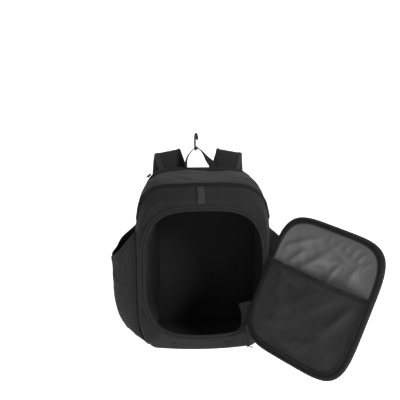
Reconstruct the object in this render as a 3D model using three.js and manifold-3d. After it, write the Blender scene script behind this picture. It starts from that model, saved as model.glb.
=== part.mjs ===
// A baseball bat backpack, hung by the hook at its grab handle, with its front door unzipped and swung open.
// Millimetres, +Z up, the bag's front towards -Y. The origin is the middle of the hook's upper bend,
// where a fence wire or a rail carries it.
import * as THREE from 'three';
import Module from 'manifold-3d';
import { mergeVertices } from 'three/addons/utils/BufferGeometryUtils.js';

// Main compartment
const body_width = 342;
const body_height = 435;
const body_depth = 215;
const front_bow = 24;         // how far the front's sides stand behind its middle
const front_nod = 8;          // how far the front's top and bottom stand behind its middle
const cloth_wall = 2.4;
const seam_gap = 0.3;         // left between sewn pieces
const base_height = 20;
const crown_start = 330;      // height where the side panels meet the crown
const front_rim_depth = 10;
const base_flattening = 8;
const inner_wall_rear = 109;  // how far left of the middle the inner wall meets the back
const inner_wall_clearance = 12;

// Door and its opening
const opening_width = 298;
const opening_height = 324;
const opening_bottom = 40;
const opening_roundness = 3.2;
const door_roundness = 4.8;
const door_thickness = 6;
const door_dome = 10;
const door_rim_width = 16;
const door_rim_height = 6.5;
const door_side = 87;         // its lower left corner, from the middle of the bag's front at the base
const door_forward = 14.5;
const door_rise = 47;
const door_across = new THREE.Vector3(0.612, -0.781, -0.121);
const door_up = new THREE.Vector3(0.377, 0.153, 0.914);
const lining_thickness = 1;
const pocket_cloth = 1.2;
const door_pocket_height = 195;
const door_pocket_rise = 14;
const door_pocket_hem_height = 9;
const hinge_length = 60;
const hinge_start = 52;       // height on the body where the hinge cloth starts
const hinge_fold = 42;        // how far the slack cloth folds inwards at its top
const hinge_cloth = 1.6;
const zip_width = 6.5;
const zip_thickness = 2;
const arch_zip_width = 11;

// Trim on the bag's front
const front_loop_width = 18;
const front_trim_side = -8;     // how far right of the middle the loop and the eyelets are centred
const front_loop_drop = 12;   // how far it reaches down the front
const webbing_thickness = 1.8;
const eyelet_radius = 5;
const eyelet_hole = 2.6;
const eyelet_thickness = 1.6;
const eyelet_spacing = 130;
const eyelet_height = 15;

// Side pockets
const pocket_bulge = 62;
const pocket_length = 148;
const pocket_middle = -14;
const pocket_bottom = 7;
const pocket_dip = 226;
const pocket_seam_height = 306;
const pocket_rear_lift = 16;      // how much higher the mouth's rear half climbs than its front half
const pocket_clearance = 1.4;
const pocket_spacing = 1.7;   // crowds the grid's rows towards the pocket's bottom
const pocket_hem_height = 12;
const pocket_hem_thickness = 1.3;

// Carrying straps
const strap_width = 72;
const strap_tilt = 9;         // degrees that a strap's outer edge hangs below its inner one at the top
const strap_thickness = 13;
const strap_standoff = 58;
const strap_spread = 140;
const webbing_width = 25;
const tab_length = 24;
const lock_width = 38;
const lock_height = 30;
const lock_thickness = 5;
const lock_bar = 4.5;
const lock_slot = 3.4;
const web_anchor_height = 30;
const web_anchor_side = 122;

// Grab handle and hook
const handle_width = 20;
const handle_thickness = 2.2;
const handle_span = 67;
const handle_side = 3;
const handle_rise = 50;
const handle_lean = -9;
const handle_inset = 8.5;     // in front of the back panel's rear face
const handle_bend = 7;        // from the handle's top to where its legs start
const handle_lead = 8;        // upright stretch at its feet
const hook_wire = 5;
const hook_lower_radius = 13;
const hook_upper_radius = 10.5;
const hook_slack = 1.8;       // between the handle's webbing and the hook's lower bend
const hook_reach = 20.5;
const hook_turn = 18;         // degrees that the hook is turned about the vertical

// Zip sliders and pulls
const slider_width = 9;
const slider_length = 13;
const slider_thickness = 4;
const pull_cord = 3;
const pull_length = 36;
const knot_radius = 4.2;
const tail_length = 13;
const ring_length = 16;
const ring_width = 10;
const ring_wire = 1.8;

// The bag's outline at steps from front to back: shares of its depth, half width and height, and the
// roundness of its upper half, whose corners are squarer where the number is higher.
const BODY_SECTIONS = [
  { depth: 0.0, width: 0.93, top: 0.895, bottom: 0.012, crown: 4.5 },
  { depth: 0.05, width: 0.965, top: 0.92, bottom: 0.0, crown: 4.5 },
  { depth: 0.22, width: 1.0, top: 0.975, bottom: 0.0, crown: 4.5 },
  { depth: 0.5, width: 0.975, top: 0.992, bottom: 0.0, crown: 5.2 },
  { depth: 0.78, width: 0.905, top: 0.998, bottom: 0.0, crown: 6 },
  { depth: 0.935, width: 0.86, top: 0.992, bottom: 0.0, crown: 6 },
];

// The padded back panel, in the same terms.
const BACK_SECTIONS = [
  { depth: 0.0, width: 0.86, top: 0.995, bottom: 0.006, crown: 6 },
  { depth: 0.35, width: 0.868, top: 1.008, bottom: 0.004, crown: 6 },
  { depth: 0.8, width: 0.85, top: 1.002, bottom: 0.014, crown: 6 },
  { depth: 1.0, width: 0.81, top: 0.98, bottom: 0.035, crown: 6 },
];

// A shoulder strap's run, from its seam over the top and down behind the bag:
// shares of the body's height, of the standoff and of the spread, and the share of its full width.
const STRAP_RUN = [
  { up: 0.9, behind: 0.0, side: 0.52, width: 1.0 },
  { up: 0.985, behind: 0.03, side: 0.54, width: 1.0 },
  { up: 1.055, behind: 0.2, side: 0.58, width: 1.0 },
  { up: 1.078, behind: 0.5, side: 0.6, width: 1.0 },
  { up: 1.03, behind: 0.86, side: 0.62, width: 1.0 },
  { up: 0.86, behind: 1.06, side: 0.67, width: 0.97 },
  { up: 0.62, behind: 1.0, side: 0.75, width: 0.9 },
  { up: 0.42, behind: 0.76, side: 0.82, width: 0.84 },
  { up: 0.28, behind: 0.52, side: 0.86, width: 0.78 },
];

const OUTLINE_STEPS = 40;
const STRAP_STEPS = 26;
const CORD_SIDES = 8;
const WIRE_SIDES = 10;
const BOTTOM_ROUNDNESS = 6;

const wasm = await Module();
wasm.setup();

const front_y = -body_depth / 2;
const back_y = body_depth / 2;
const handle_depth = back_y - handle_inset;
const middle_z = body_height / 2;
const shell_end = BODY_SECTIONS[BODY_SECTIONS.length - 1].depth;
const door_width = opening_width + 2 * zip_width;
const door_height = opening_height + 2 * zip_width;
const opening_middle = opening_bottom + opening_height / 2;

const paint = (color, roughness, metalness = 0) =>
  new THREE.MeshStandardMaterial({ color, roughness, metalness });
const finishes = {
  body_cloth: paint(0x232324, 0.85),
  base_cloth: paint(0x2e2e2f, 0.7),
  lining: paint(0x6b6b6c, 0.75),
  pocket_cloth: paint(0x333334, 0.85),
  zip: paint(0x161617, 0.6),
  webbing: paint(0x1b1b1c, 0.8),
  light_webbing: paint(0x4a4a4b, 0.75),
  padding: paint(0x2a2a2b, 0.9),
  plastic: paint(0x111112, 0.45),
  metal: paint(0x2b2b2d, 0.4, 0.9),
};

// Solids from points

function solidOf(points, faces) {
  const geometry = new THREE.BufferGeometry();
  geometry.setAttribute('position', new THREE.Float32BufferAttribute(points.flatMap((p) => [p.x, p.y, p.z]), 3));
  let volume = 0;
  for (const [a, b, c] of faces) {
    volume += points[a].dot(points[b].clone().cross(points[c]));
  }
  geometry.setIndex(faces.flatMap(([a, b, c]) => (volume > 0 ? [a, b, c] : [a, c, b])));
  geometry.computeVertexNormals();
  return geometry;
}

// Joins rings of equal length, one after another, and closes both ends.
function loft(rings, looped = false) {
  const count = rings[0].length;
  const points = rings.flat();
  const faces = [];
  const spans = looped ? rings.length : rings.length - 1;
  for (let r = 0; r < spans; r += 1) {
    const near = r * count;
    const far = ((r + 1) % rings.length) * count;
    for (let i = 0; i < count; i += 1) {
      const j = (i + 1) % count;
      faces.push([near + i, near + j, far + j], [near + i, far + j, far + i]);
    }
  }
  if (!looped) {
    for (const [ring, turned] of [[0, true], [rings.length - 1, false]]) {
      const middle = new THREE.Vector3();
      rings[ring].forEach((p) => middle.addScaledVector(p, 1 / count));
      const hub = points.push(middle) - 1;
      for (let i = 0; i < count; i += 1) {
        const a = ring * count + i;
        const b = ring * count + ((i + 1) % count);
        faces.push(turned ? [b, a, hub] : [a, b, hub]);
      }
    }
  }
  return solidOf(points, faces);
}

// Closes two grids of points, one thickness apart, into a sheet.
function sheet(face, back) {
  const rows = face.length;
  const columns = face[0].length;
  const points = [...face.flat(), ...back.flat()];
  const at = (side, r, c) => side * rows * columns + r * columns + c;
  const faces = [];
  const quad = (a, b, c, d) => faces.push([a, b, c], [a, c, d]);
  for (let r = 0; r < rows - 1; r += 1) {
    for (let c = 0; c < columns - 1; c += 1) {
      quad(at(0, r, c), at(0, r, c + 1), at(0, r + 1, c + 1), at(0, r + 1, c));
      quad(at(1, r, c), at(1, r + 1, c), at(1, r + 1, c + 1), at(1, r, c + 1));
    }
  }
  for (let r = 0; r < rows - 1; r += 1) {
    quad(at(0, r, 0), at(0, r + 1, 0), at(1, r + 1, 0), at(1, r, 0));
    quad(at(0, r, columns - 1), at(1, r, columns - 1), at(1, r + 1, columns - 1), at(0, r + 1, columns - 1));
  }
  for (let c = 0; c < columns - 1; c += 1) {
    quad(at(0, 0, c), at(1, 0, c), at(1, 0, c + 1), at(0, 0, c + 1));
    quad(at(0, rows - 1, c), at(0, rows - 1, c + 1), at(1, rows - 1, c + 1), at(1, rows - 1, c));
  }
  return solidOf(points, faces);
}

// A sheet worked out from a surface function of two shares, with its thickness set off along the normal.
function surfaceSheet(surface, rows, columns, from, to) {
  const step = 1e-3;
  const offset = (u, v, distance) => {
    const along = surface(Math.min(u + step, 1), v).sub(surface(Math.max(u - step, 0), v));
    const up = surface(u, Math.min(v + step, 1)).sub(surface(u, Math.max(v - step, 0)));
    return surface(u, v).addScaledVector(along.cross(up).normalize(), distance);
  };
  const grid = (distance) =>
    Array.from({ length: rows + 1 }, (_, r) =>
      Array.from({ length: columns + 1 }, (_, c) => offset(c / columns, r / rows, distance)));
  return sheet(grid(from), grid(to));
}

// A flat band or a padded strap along a run of stations { at, across, width, thickness }.
function strap(stations, chamfer = 0.28) {
  const rings = stations.map((station, i) => {
    const before = stations[Math.max(i - 1, 0)].at;
    const after = stations[Math.min(i + 1, stations.length - 1)].at;
    const along = after.clone().sub(before).normalize();
    const across = station.across.clone().addScaledVector(along, -station.across.dot(along)).normalize();
    const out = across.clone().cross(along);
    const half = station.width / 2;
    const thick = station.thickness / 2;
    const bevel = station.thickness * chamfer;
    const corners = [
      [-half, -thick + bevel], [-half + bevel, -thick], [half - bevel, -thick], [half, -thick + bevel],
      [half, thick - bevel], [half - bevel, thick], [-half + bevel, thick], [-half, thick - bevel],
    ];
    return corners.map(([a, b]) => station.at.clone().addScaledVector(across, a).addScaledVector(out, b));
  });
  return loft(rings);
}

function tube(points, diameter, sides, steps) {
  const section = new THREE.Shape(
    Array.from({ length: sides }, (_, i) => {
      const angle = (2 * Math.PI * i) / sides;
      return new THREE.Vector2(Math.cos(angle), Math.sin(angle)).multiplyScalar(diameter / 2);
    }));
  const extrudePath = new THREE.CatmullRomCurve3(points, false, 'centripetal');
  return new THREE.ExtrudeGeometry(section, { steps, extrudePath, bevelEnabled: false });
}

// Boolean cuts

function toSolid(geometry) {
  const bare = geometry.clone();
  bare.deleteAttribute('normal');
  bare.deleteAttribute('uv');
  const merged = mergeVertices(bare, 1e-4);
  return new wasm.Manifold(new wasm.Mesh({
    numProp: 3,
    vertProperties: new Float32Array(merged.attributes.position.array),
    triVerts: new Uint32Array(merged.index.array),
  }));
}

function fromSolid(solid) {
  const mesh = solid.getMesh();
  const geometry = new THREE.BufferGeometry();
  geometry.setAttribute('position', new THREE.BufferAttribute(new Float32Array(mesh.vertProperties), 3));
  geometry.setIndex(new THREE.BufferAttribute(new Uint32Array(mesh.triVerts), 1));
  geometry.computeVertexNormals();
  return geometry;
}

// The body's surface

function sectionAt(table, depth) {
  const next = Math.max(1, table.findIndex((row) => row.depth >= depth));
  const a = table[next - 1];
  const b = table[next];
  const t = (depth - a.depth) / (b.depth - a.depth);
  const mix = (key) => THREE.MathUtils.lerp(a[key], b[key], t);
  return {
    half: mix('width') * body_width / 2,
    top: mix('top') * body_height,
    bottom: mix('bottom') * body_height,
    crown: mix('crown'),
  };
}

const power = (value, roundness) => Math.sign(value) * Math.abs(value) ** (2 / roundness);

function outline({ half, top, bottom, crown }, grow = 0) {
  return Array.from({ length: OUTLINE_STEPS }, (_, i) => {
    const angle = (2 * Math.PI * i) / OUTLINE_STEPS;
    const upper = Math.sin(angle) >= 0;
    const roundness = upper ? crown : BOTTOM_ROUNDNESS;
    const reach = upper ? top + grow - middle_z : middle_z - bottom + grow + base_flattening;
    const x = (half + grow) * power(Math.cos(angle), roundness);
    const z = middle_z + reach * power(Math.sin(angle), roundness);
    return { x, z: Math.max(z, bottom - grow) };
  });
}

// Half the body's width at one depth and height.
function halfAt(depth, z) {
  const { half, top, bottom, crown } = sectionAt(BODY_SECTIONS, depth);
  const upper = z >= middle_z;
  const reach = upper ? top - middle_z : middle_z - bottom + base_flattening;
  const roundness = upper ? crown : BOTTOM_ROUNDNESS;
  return half * (1 - Math.abs((z - middle_z) / reach) ** roundness) ** (1 / roundness);
}

// Bends what lies on the front half of the bag so that the front's rim stands behind its middle.
function bow(point) {
  const share = THREE.MathUtils.clamp(point.y / front_y, 0, 1);
  const sideways = front_bow * (point.x / (body_width / 2)) ** 2;
  const upward = front_nod * ((point.z - middle_z) / middle_z) ** 2;
  point.y += share * (sideways + upward);
  return point;
}

const ringAt = (table, start, length, share, grow) =>
  outline(sectionAt(table, share), grow).map(({ x, z }) => bow(new THREE.Vector3(x, start + length * share, z)));

function bodySolid(grow, wall) {
  const shares = BODY_SECTIONS.map((row) => row.depth);
  shares[0] = wall / body_depth;
  const front = outline(sectionAt(BODY_SECTIONS, shares[0]), grow);
  const face = [0.4, 0.7, 0.9].map((inward) => front.map(({ x, z }) =>
    bow(new THREE.Vector3(x * inward, front_y + wall, middle_z + (z - middle_z) * inward))));
  const sides = shares.map((share) => ringAt(BODY_SECTIONS, front_y, body_depth, share, grow));
  const rings = [...face, ...sides];
  if (wall > 0) {
    rings.push(rings[rings.length - 1].map((p) => p.clone().setY(back_y)));
  }
  return toSolid(loft(rings));
}

// A block between two corners, bent with the bag's front.
function block(low, high) {
  const size = high.clone().sub(low);
  const geometry = new THREE.BoxGeometry(size.x, size.y, size.z, 20, 2, 8);
  geometry.translate(...low.clone().add(high).multiplyScalar(0.5).toArray());
  const place = geometry.attributes.position;
  for (let i = 0; i < place.count; i += 1) {
    const p = bow(new THREE.Vector3().fromBufferAttribute(place, i));
    place.setXYZ(i, p.x, p.y, p.z);
  }
  return toSolid(geometry);
}

// A round-cornered outline about the origin.
function roundOutline(half_width, half_height, roundness, steps) {
  return Array.from({ length: steps }, (_, i) => {
    const angle = (2 * Math.PI * i) / steps;
    return {
      x: half_width * power(Math.cos(angle), roundness),
      z: half_height * power(Math.sin(angle), roundness),
    };
  });
}

const openingOutline = (grow, steps) =>
  roundOutline(opening_width / 2 + grow, opening_height / 2 + grow, opening_roundness, steps);

// Half the width of a round-cornered outline, at a height from its middle.
const reachAt = (half_width, half_height, roundness, z) =>
  half_width * (1 - Math.min(Math.abs(z / half_height), 1) ** roundness) ** (1 / roundness);

const bag = new THREE.Group();
const door = new THREE.Group();
const hinge_side = door_across.clone().normalize();
const outward = door_up.clone().cross(hinge_side).normalize();
door.position.set(door_side, front_y - door_forward, door_rise);
door.quaternion.setFromRotationMatrix(
  new THREE.Matrix4().makeBasis(hinge_side, outward, hinge_side.clone().cross(outward)));
bag.add(door);

function piece(name, geometry, finish, parent = bag) {
  const mesh = new THREE.Mesh(geometry, finishes[finish]);
  mesh.name = name;
  parent.add(mesh);
  return mesh;
}

// Sewn panels of the main compartment

function makePanels() {
  const far = 2 * body_width;
  const opening = [front_y - front_bow, front_y / 2].map((y) =>
    openingOutline(0, OUTLINE_STEPS).map(({ x, z }) => new THREE.Vector3(x, y, opening_middle + z)));
  const shell = bodySolid(0, 0)
    .subtract(bodySolid(-cloth_wall, cloth_wall))
    .subtract(toSolid(loft(opening)));
  const corner = (x, y, z) => new THREE.Vector3(x, y, z);
  const before = (y) => block(corner(-far, -far, -far), corner(far, y, far));
  const rim = front_y + front_rim_depth;
  piece('front_panel', fromSolid(shell.intersect(before(rim))), 'body_cloth');
  const rest = shell.subtract(before(rim + seam_gap));
  const keep = (name, low, high, finish) =>
    piece(name, fromSolid(rest.intersect(block(low, high))), finish);
  const low = base_height + seam_gap;
  const high = crown_start - seam_gap;
  keep('base_panel', corner(-far, -far, -far), corner(far, far, base_height), 'base_cloth');
  keep('crown_panel', corner(-far, -far, crown_start), corner(far, far, far), 'body_cloth');
  keep('side_panel_left', corner(-far, -far, low), corner(0, far, high), 'body_cloth');
  keep('side_panel_right', corner(0, -far, low), corner(far, far, high), 'body_cloth');
}

function makeBackPanel() {
  const start = front_y + body_depth * shell_end + seam_gap;
  const length = back_y - start;
  piece('back_panel', loft(BACK_SECTIONS.map((row) => ringAt(BACK_SECTIONS, start, length, row.depth, 0))), 'padding');
}

// A slanting wall of lining that parts the left bat sleeve from the compartment.
function makeInnerWall() {
  const low = opening_bottom + inner_wall_clearance;
  const high = opening_bottom + opening_height - inner_wall_clearance;
  const surface = (u, v) => {
    const z = low + (high - low) * v;
    const inset = inner_wall_clearance / 2;
    const edge = reachAt(
      opening_width / 2 - inset, opening_height / 2 - inset, opening_roundness, z - opening_middle);
    const reach = Math.max(edge, inner_wall_rear + inner_wall_clearance);
    const front = bow(new THREE.Vector3(-reach, front_y + cloth_wall + 2 * seam_gap, z));
    const rear = new THREE.Vector3(-inner_wall_rear, front_y + body_depth * shell_end - seam_gap, z);
    return front.lerp(rear, u);
  };
  piece('inner_wall_left', surfaceSheet(surface, 10, 1, 0, cloth_wall), 'lining');
}

// A zip that arches over the crown at one depth.
function makeArchZip(name, depth) {
  const y = front_y + body_depth * depth;
  const half = arch_zip_width / 2;
  const lift = seam_gap + 0.1;
  const band = bodySolid(lift + zip_thickness, 0).subtract(bodySolid(lift, 0))
    .intersect(block(
      new THREE.Vector3(-body_width, y - half, crown_start + seam_gap),
      new THREE.Vector3(body_width, y + half, 2 * body_height)));
  piece(name, fromSolid(band), 'zip');
}

function makeOpeningZip() {
  const steps = 48;
  const inner = openingOutline(0.5, steps);
  const outer = openingOutline(0.5 + zip_width, steps);
  const near = front_y - seam_gap;
  const far = near - zip_thickness;
  const at = ({ x, z }, y) => bow(new THREE.Vector3(x, y, opening_middle + z));
  const rings = inner.map((p, i) => [at(p, near), at(outer[i], near), at(outer[i], far), at(p, far)]);
  piece('opening_zip', loft(rings, true), 'zip');
}

// A short webbing strip from the crown's zip over the front's rim.
function makeFrontLoop(zip_depth) {
  const end = zip_depth - (arch_zip_width / 2 + 2) / body_depth;
  const lift = seam_gap + 0.6 + webbing_thickness / 2;
  const slope = [0.01, 0.05, 0.1, end].map((share) => {
    const { top } = sectionAt(BODY_SECTIONS, share);
    return new THREE.Vector3(front_trim_side, front_y + body_depth * share, top + lift);
  });
  const rim = slope[0].z - lift;
  const face = [front_loop_drop, front_loop_drop / 2, 0].map((drop) =>
    new THREE.Vector3(front_trim_side, front_y - lift, rim - 1 - drop));
  const stations = [...face, ...slope].map((point) => ({
    at: bow(point),
    across: new THREE.Vector3(1, 0, 0),
    width: front_loop_width,
    thickness: webbing_thickness,
  }));
  piece('front_loop', strap(stations), 'light_webbing');
}

function makeEyelet(name, x) {
  const profile = [
    [eyelet_hole, 0], [eyelet_radius, 0], [eyelet_radius, eyelet_thickness / 2],
    [(eyelet_radius + eyelet_hole) / 2, eyelet_thickness], [eyelet_hole, eyelet_thickness / 2], [eyelet_hole, 0],
  ].map(([r, h]) => new THREE.Vector2(r, h));
  const mesh = piece(name, new THREE.LatheGeometry(profile, 20), 'metal');
  const place = bow(new THREE.Vector3(x, front_y, eyelet_height));
  const side = bow(new THREE.Vector3(x + 1, front_y, eyelet_height)).sub(place).normalize();
  const out = side.clone().cross(new THREE.Vector3(0, 0, 1));
  mesh.quaternion.setFromUnitVectors(new THREE.Vector3(0, 1, 0), out);
  mesh.position.copy(place).addScaledVector(out, seam_gap / 3);
}

// The door, in its own frame: x from the hinge side, y away from its lining, z up its edge

const doorRing = (grow, y, steps = OUTLINE_STEPS) =>
  roundOutline(door_width / 2 + grow, door_height / 2 + grow, door_roundness, steps)
    .map(({ x, z }) => new THREE.Vector3(door_width / 2 + x, y, door_height / 2 + z));

function domed(shares, y, dome, grow) {
  return shares.map((share) => {
    const middle = new THREE.Vector3(door_width / 2, 0, door_height / 2);
    return doorRing(grow, 0).map((p) => {
      const q = middle.clone().lerp(p, share);
      q.y = y + dome * (1 - share ** 2);
      return q;
    });
  });
}

function makeDoor() {
  const shares = [0.25, 0.6, 0.85, 1];
  const outside = domed(shares, door_thickness, door_dome, -1.5);
  const inside = domed(shares, 0, door_dome, 0).reverse();
  piece('door_panel', loft([...outside, ...inside]), 'body_cloth', door);

  const rim_face = -seam_gap;
  const rim_back = -seam_gap - door_rim_height;
  const steps = 48;
  const ring = (grow, y) => doorRing(grow, y, steps);
  const corners = [
    ring(0, rim_face), ring(-door_rim_width, rim_face),
    ring(-door_rim_width, rim_back / 2), ring(-door_rim_width / 3, rim_back), ring(0, rim_back / 2),
  ];
  const rings = corners[0].map((_, i) => corners.map((c) => c[i]));
  piece('door_rim', loft(rings, true), 'zip', door);

  const inset = -door_rim_width - 0.5;
  const lining_y = -seam_gap - lining_thickness;
  const front = domed(shares.slice(1), lining_y, door_dome * 0.6, inset);
  const rear = domed(shares.slice(1), lining_y + lining_thickness, door_dome * 0.6, inset).reverse();
  piece('door_lining', loft([...front, ...rear]), 'lining', door);
}

// The pocket on the door's inner side: a sheet whose mouth stands off the lining.
function doorPocketSurface(u, v) {
  const half_width = door_width / 2 - door_rim_width - 1;
  const half_height = door_height / 2 - door_rim_width - 1;
  const low = -half_height * 0.985;
  const high = door_rim_width + door_pocket_height - door_height / 2;
  const z = low + (high - low) * v;
  const reach = reachAt(half_width, half_height, door_roundness, z);
  const s = 2 * u - 1;
  const rise = door_pocket_rise * (1 - s * s) * Math.max(v, 0) ** 1.5 * (2 - v);
  const y = -2 * seam_gap - lining_thickness - rise;
  return new THREE.Vector3(door_width / 2 + reach * s, y, door_height / 2 + z);
}

function makeDoorPocket() {
  piece('door_pocket', surfaceSheet(doorPocketSurface, 9, 14, 0, pocket_cloth), 'pocket_cloth', door);
  const share = door_pocket_hem_height / door_pocket_height;
  const top = (u, v) => doorPocketSurface(0.004 + 0.992 * u, 1 - share * (1 - v));
  const side = pocket_cloth + seam_gap;
  piece('door_pocket_hem', surfaceSheet(top, 1, 14, side, side + pocket_cloth), 'webbing', door);
}

// Slack cloth that joins the door's edge to the opening's lower right corner.
function makeHinge() {
  door.updateMatrix();
  const bodyEdge = (t) => {
    const z = hinge_start + hinge_length * t;
    const inset = hinge_cloth + 2 * seam_gap;
    const reach = reachAt(
      opening_width / 2 - inset, opening_height / 2 - inset, opening_roundness, z - opening_middle);
    return bow(new THREE.Vector3(reach, front_y + cloth_wall / 2, z));
  };
  const doorEdge = (t) => {
    const z = door_rim_width * 2 + hinge_length * t;
    const reach = reachAt(door_width / 2, door_height / 2, door_roundness, z - door_height / 2);
    return new THREE.Vector3(door_width / 2 - reach - hinge_cloth * 0.75, -door_rim_height / 2, z)
      .applyMatrix4(door.matrix);
  };
  const surface = (u, v) => bodyEdge(v).lerp(doorEdge(v), u)
    .add(new THREE.Vector3(-hinge_fold * (0.15 + 0.85 * v) * Math.sin(Math.PI * u), -4 * Math.sin(Math.PI * u), 0));
  piece('door_hinge', surfaceSheet(surface, 5, 10, 0, -hinge_cloth), 'pocket_cloth');
}

// Side pockets, open at the top

function pocketSurface(side) {
  return (u, v) => {
    const angle = Math.PI * u;
    const along = -power(Math.cos(angle), 2.6);
    const y = pocket_middle + pocket_length / 2 * along;
    const depth = (y - front_y) / body_depth;
    const climb = (pocket_seam_height - pocket_dip) * Math.abs(2 * u - 1) ** 2.2;
    const mouth = pocket_dip + climb + pocket_rear_lift * Math.sin(Math.PI * Math.max(2 * u - 1, 0)) ** 2;
    const z = pocket_bottom + (mouth - pocket_bottom) * Math.max(v, 0) ** pocket_spacing;
    const height = (z - pocket_bottom) / (pocket_dip - pocket_bottom);
    const belly = (0.8 + 0.2 * Math.min(height, 1)) * (1 - Math.max(1 - height, 0) ** 7);
    const out = pocket_bulge * belly * Math.abs(power(Math.sin(angle), 2.6));
    return bow(new THREE.Vector3(side * (halfAt(depth, z) + pocket_clearance + out), y, z));
  };
}

function makeSidePocket(name, side) {
  const whole = pocketSurface(side);
  piece(`side_pocket_${name}`, surfaceSheet(whole, 8, 18, 0, side * cloth_wall), 'pocket_cloth');
  const start = (1 - pocket_hem_height / (pocket_dip - pocket_bottom)) ** (1 / pocket_spacing);
  const band = (u, v) => whole(0.06 + 0.88 * u, start + (1 - start) * v);
  const inner = side * (cloth_wall + 3 * seam_gap);
  const outer = inner + side * pocket_hem_thickness;
  piece(`pocket_hem_${name}`, surfaceSheet(band, 1, 18, inner, outer), 'webbing');
}

// Shoulder straps and their adjusters

const strap_base = back_y + seam_gap + strap_thickness / 2;

function strapCurve(side) {
  return new THREE.CatmullRomCurve3(STRAP_RUN.map((row) => new THREE.Vector3(
    side * row.side * strap_spread,
    strap_base + row.behind * strap_standoff,
    row.up * body_height)), false, 'centripetal');
}

function makeStrap(name, side) {
  const curve = strapCurve(side);
  const stations = Array.from({ length: STRAP_STEPS + 1 }, (_, i) => {
    const t = i / STRAP_STEPS;
    const row = t * (STRAP_RUN.length - 1);
    const low = Math.min(Math.floor(row), STRAP_RUN.length - 2);
    const width = THREE.MathUtils.lerp(STRAP_RUN[low].width, STRAP_RUN[low + 1].width, row - low);
    const tilt = THREE.MathUtils.degToRad(strap_tilt) * Math.sin(Math.PI * Math.min(2 * t, 1)) ** 2;
    const level = new THREE.Vector3(Math.cos(tilt), 0, -side * Math.sin(tilt));
    return { at: curve.getPoint(t), across: level, width: strap_width * width, thickness: strap_thickness };
  });
  piece(`shoulder_strap_${name}`, strap(stations), 'padding');

  const across = new THREE.Vector3(1, 0, 0);
  const end = curve.getPoint(1);
  const down = end.clone().sub(curve.getPoint(0.97)).normalize();
  const ribbon = (points) => strap(points.map((at) =>
    ({ at, across, width: webbing_width, thickness: webbing_thickness })));
  const tab_start = end.clone().addScaledVector(down, seam_gap);
  const tab_end = tab_start.clone().addScaledVector(down, tab_length);
  piece(`strap_tab_${name}`, ribbon([tab_start, tab_end]), 'webbing');

  const lock = piece(`ladder_lock_${name}`, makeLock(), 'plastic');
  lock.quaternion.setFromRotationMatrix(new THREE.Matrix4().makeBasis(
    across.clone().addScaledVector(down, -across.dot(down)).normalize(),
    down.clone().negate(),
    across.clone().cross(down.clone().negate()).normalize()));
  lock.position.copy(tab_end).addScaledVector(down, seam_gap + lock_height / 2);

  const lock_end = tab_end.clone().addScaledVector(down, 2 * seam_gap + lock_height);
  const anchor_y = back_y + seam_gap + webbing_thickness / 2;
  const anchor = new THREE.Vector3(side * web_anchor_side, anchor_y, web_anchor_height);
  const foot = anchor.clone().setZ(web_anchor_height - webbing_width * 0.6);
  const lead = lock_end.clone().addScaledVector(down, 2 * webbing_thickness);
  const hang = lead.clone().lerp(anchor, 0.5).add(new THREE.Vector3(0, 3, -4));
  piece(`strap_web_${name}`, ribbon([lock_end, lead, hang, anchor, foot]), 'webbing');
}

// A ladder lock: a plastic frame with two slots.
function makeLock() {
  const rectangle = (target, width, low, high) => {
    target.moveTo(-width / 2, low);
    target.lineTo(width / 2, low);
    target.lineTo(width / 2, high);
    target.lineTo(-width / 2, high);
    target.closePath();
    return target;
  };
  const frame = rectangle(new THREE.Shape(), lock_width, -lock_height / 2, lock_height / 2);
  const first = lock_height / 2 - lock_bar;
  const second = -lock_height / 2 + lock_bar + lock_slot;
  for (const top of [first, second]) {
    frame.holes.push(rectangle(new THREE.Path(), lock_width - 2 * lock_bar, top - lock_slot, top));
  }
  const geometry = new THREE.ExtrudeGeometry(frame, { depth: lock_thickness, bevelEnabled: false });
  return geometry.translate(0, 0, -lock_thickness / 2);
}

// Grab handle, hung in the hook's lower bend

const handle_foot = sectionAt(BACK_SECTIONS, 0.35).top + 1.5 * seam_gap;
const handle_top = handle_foot + handle_rise;

function makeHandle() {
  const left = handle_side - handle_span / 2;
  const right = handle_side + handle_span / 2;
  const run = [
    { x: left, z: handle_foot, twist: 0 },
    { x: left, z: handle_foot + handle_lead, twist: 0 },
    { x: left * 0.84 + handle_lean * 0.16, z: handle_foot + handle_rise * 0.34, twist: 25 },
    { x: left * 0.45 + handle_lean * 0.55, z: handle_foot + handle_rise * 0.7, twist: 60 },
    { x: handle_lean - handle_bend, z: handle_top - handle_bend * 0.43, twist: 88 },
    { x: handle_lean, z: handle_top, twist: 90 },
    { x: handle_lean + handle_bend, z: handle_top - handle_bend * 0.43, twist: 92 },
    { x: right * 0.5 + handle_lean * 0.5, z: handle_foot + handle_rise * 0.62, twist: 120 },
    { x: right * 0.85 + handle_lean * 0.15, z: handle_foot + handle_rise * 0.3, twist: 155 },
    { x: right, z: handle_foot + handle_lead, twist: 180 },
    { x: right, z: handle_foot, twist: 180 },
  ];
  const curve = new THREE.CatmullRomCurve3(
    run.map(({ x, z }) => new THREE.Vector3(x, handle_depth, z)), false, 'centripetal');
  const steps = 24;
  const stations = Array.from({ length: steps + 1 }, (_, i) => {
    const row = (i / steps) * (run.length - 1);
    const low = Math.min(Math.floor(row), run.length - 2);
    const twist = THREE.MathUtils.degToRad(THREE.MathUtils.lerp(run[low].twist, run[low + 1].twist, row - low));
    const at = curve.getPoint(i / steps);
    const along = curve.getTangent(i / steps);
    const flat = new THREE.Vector3(0, 1, 0).cross(along).normalize();
    const across = flat.multiplyScalar(Math.cos(twist)).add(new THREE.Vector3(0, Math.sin(twist), 0));
    const bunched = 1 - 0.5 * Math.sin(twist) ** 4;
    return { at, across, width: handle_width * bunched, thickness: handle_thickness };
  });
  piece('grab_handle', strap(stations), 'webbing');
}

const hook_low = handle_top - handle_thickness / 2 - hook_slack - hook_wire / 2 + hook_lower_radius;
const hook_middle = new THREE.Vector3(handle_lean, handle_depth, hook_low + hook_reach);

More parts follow.
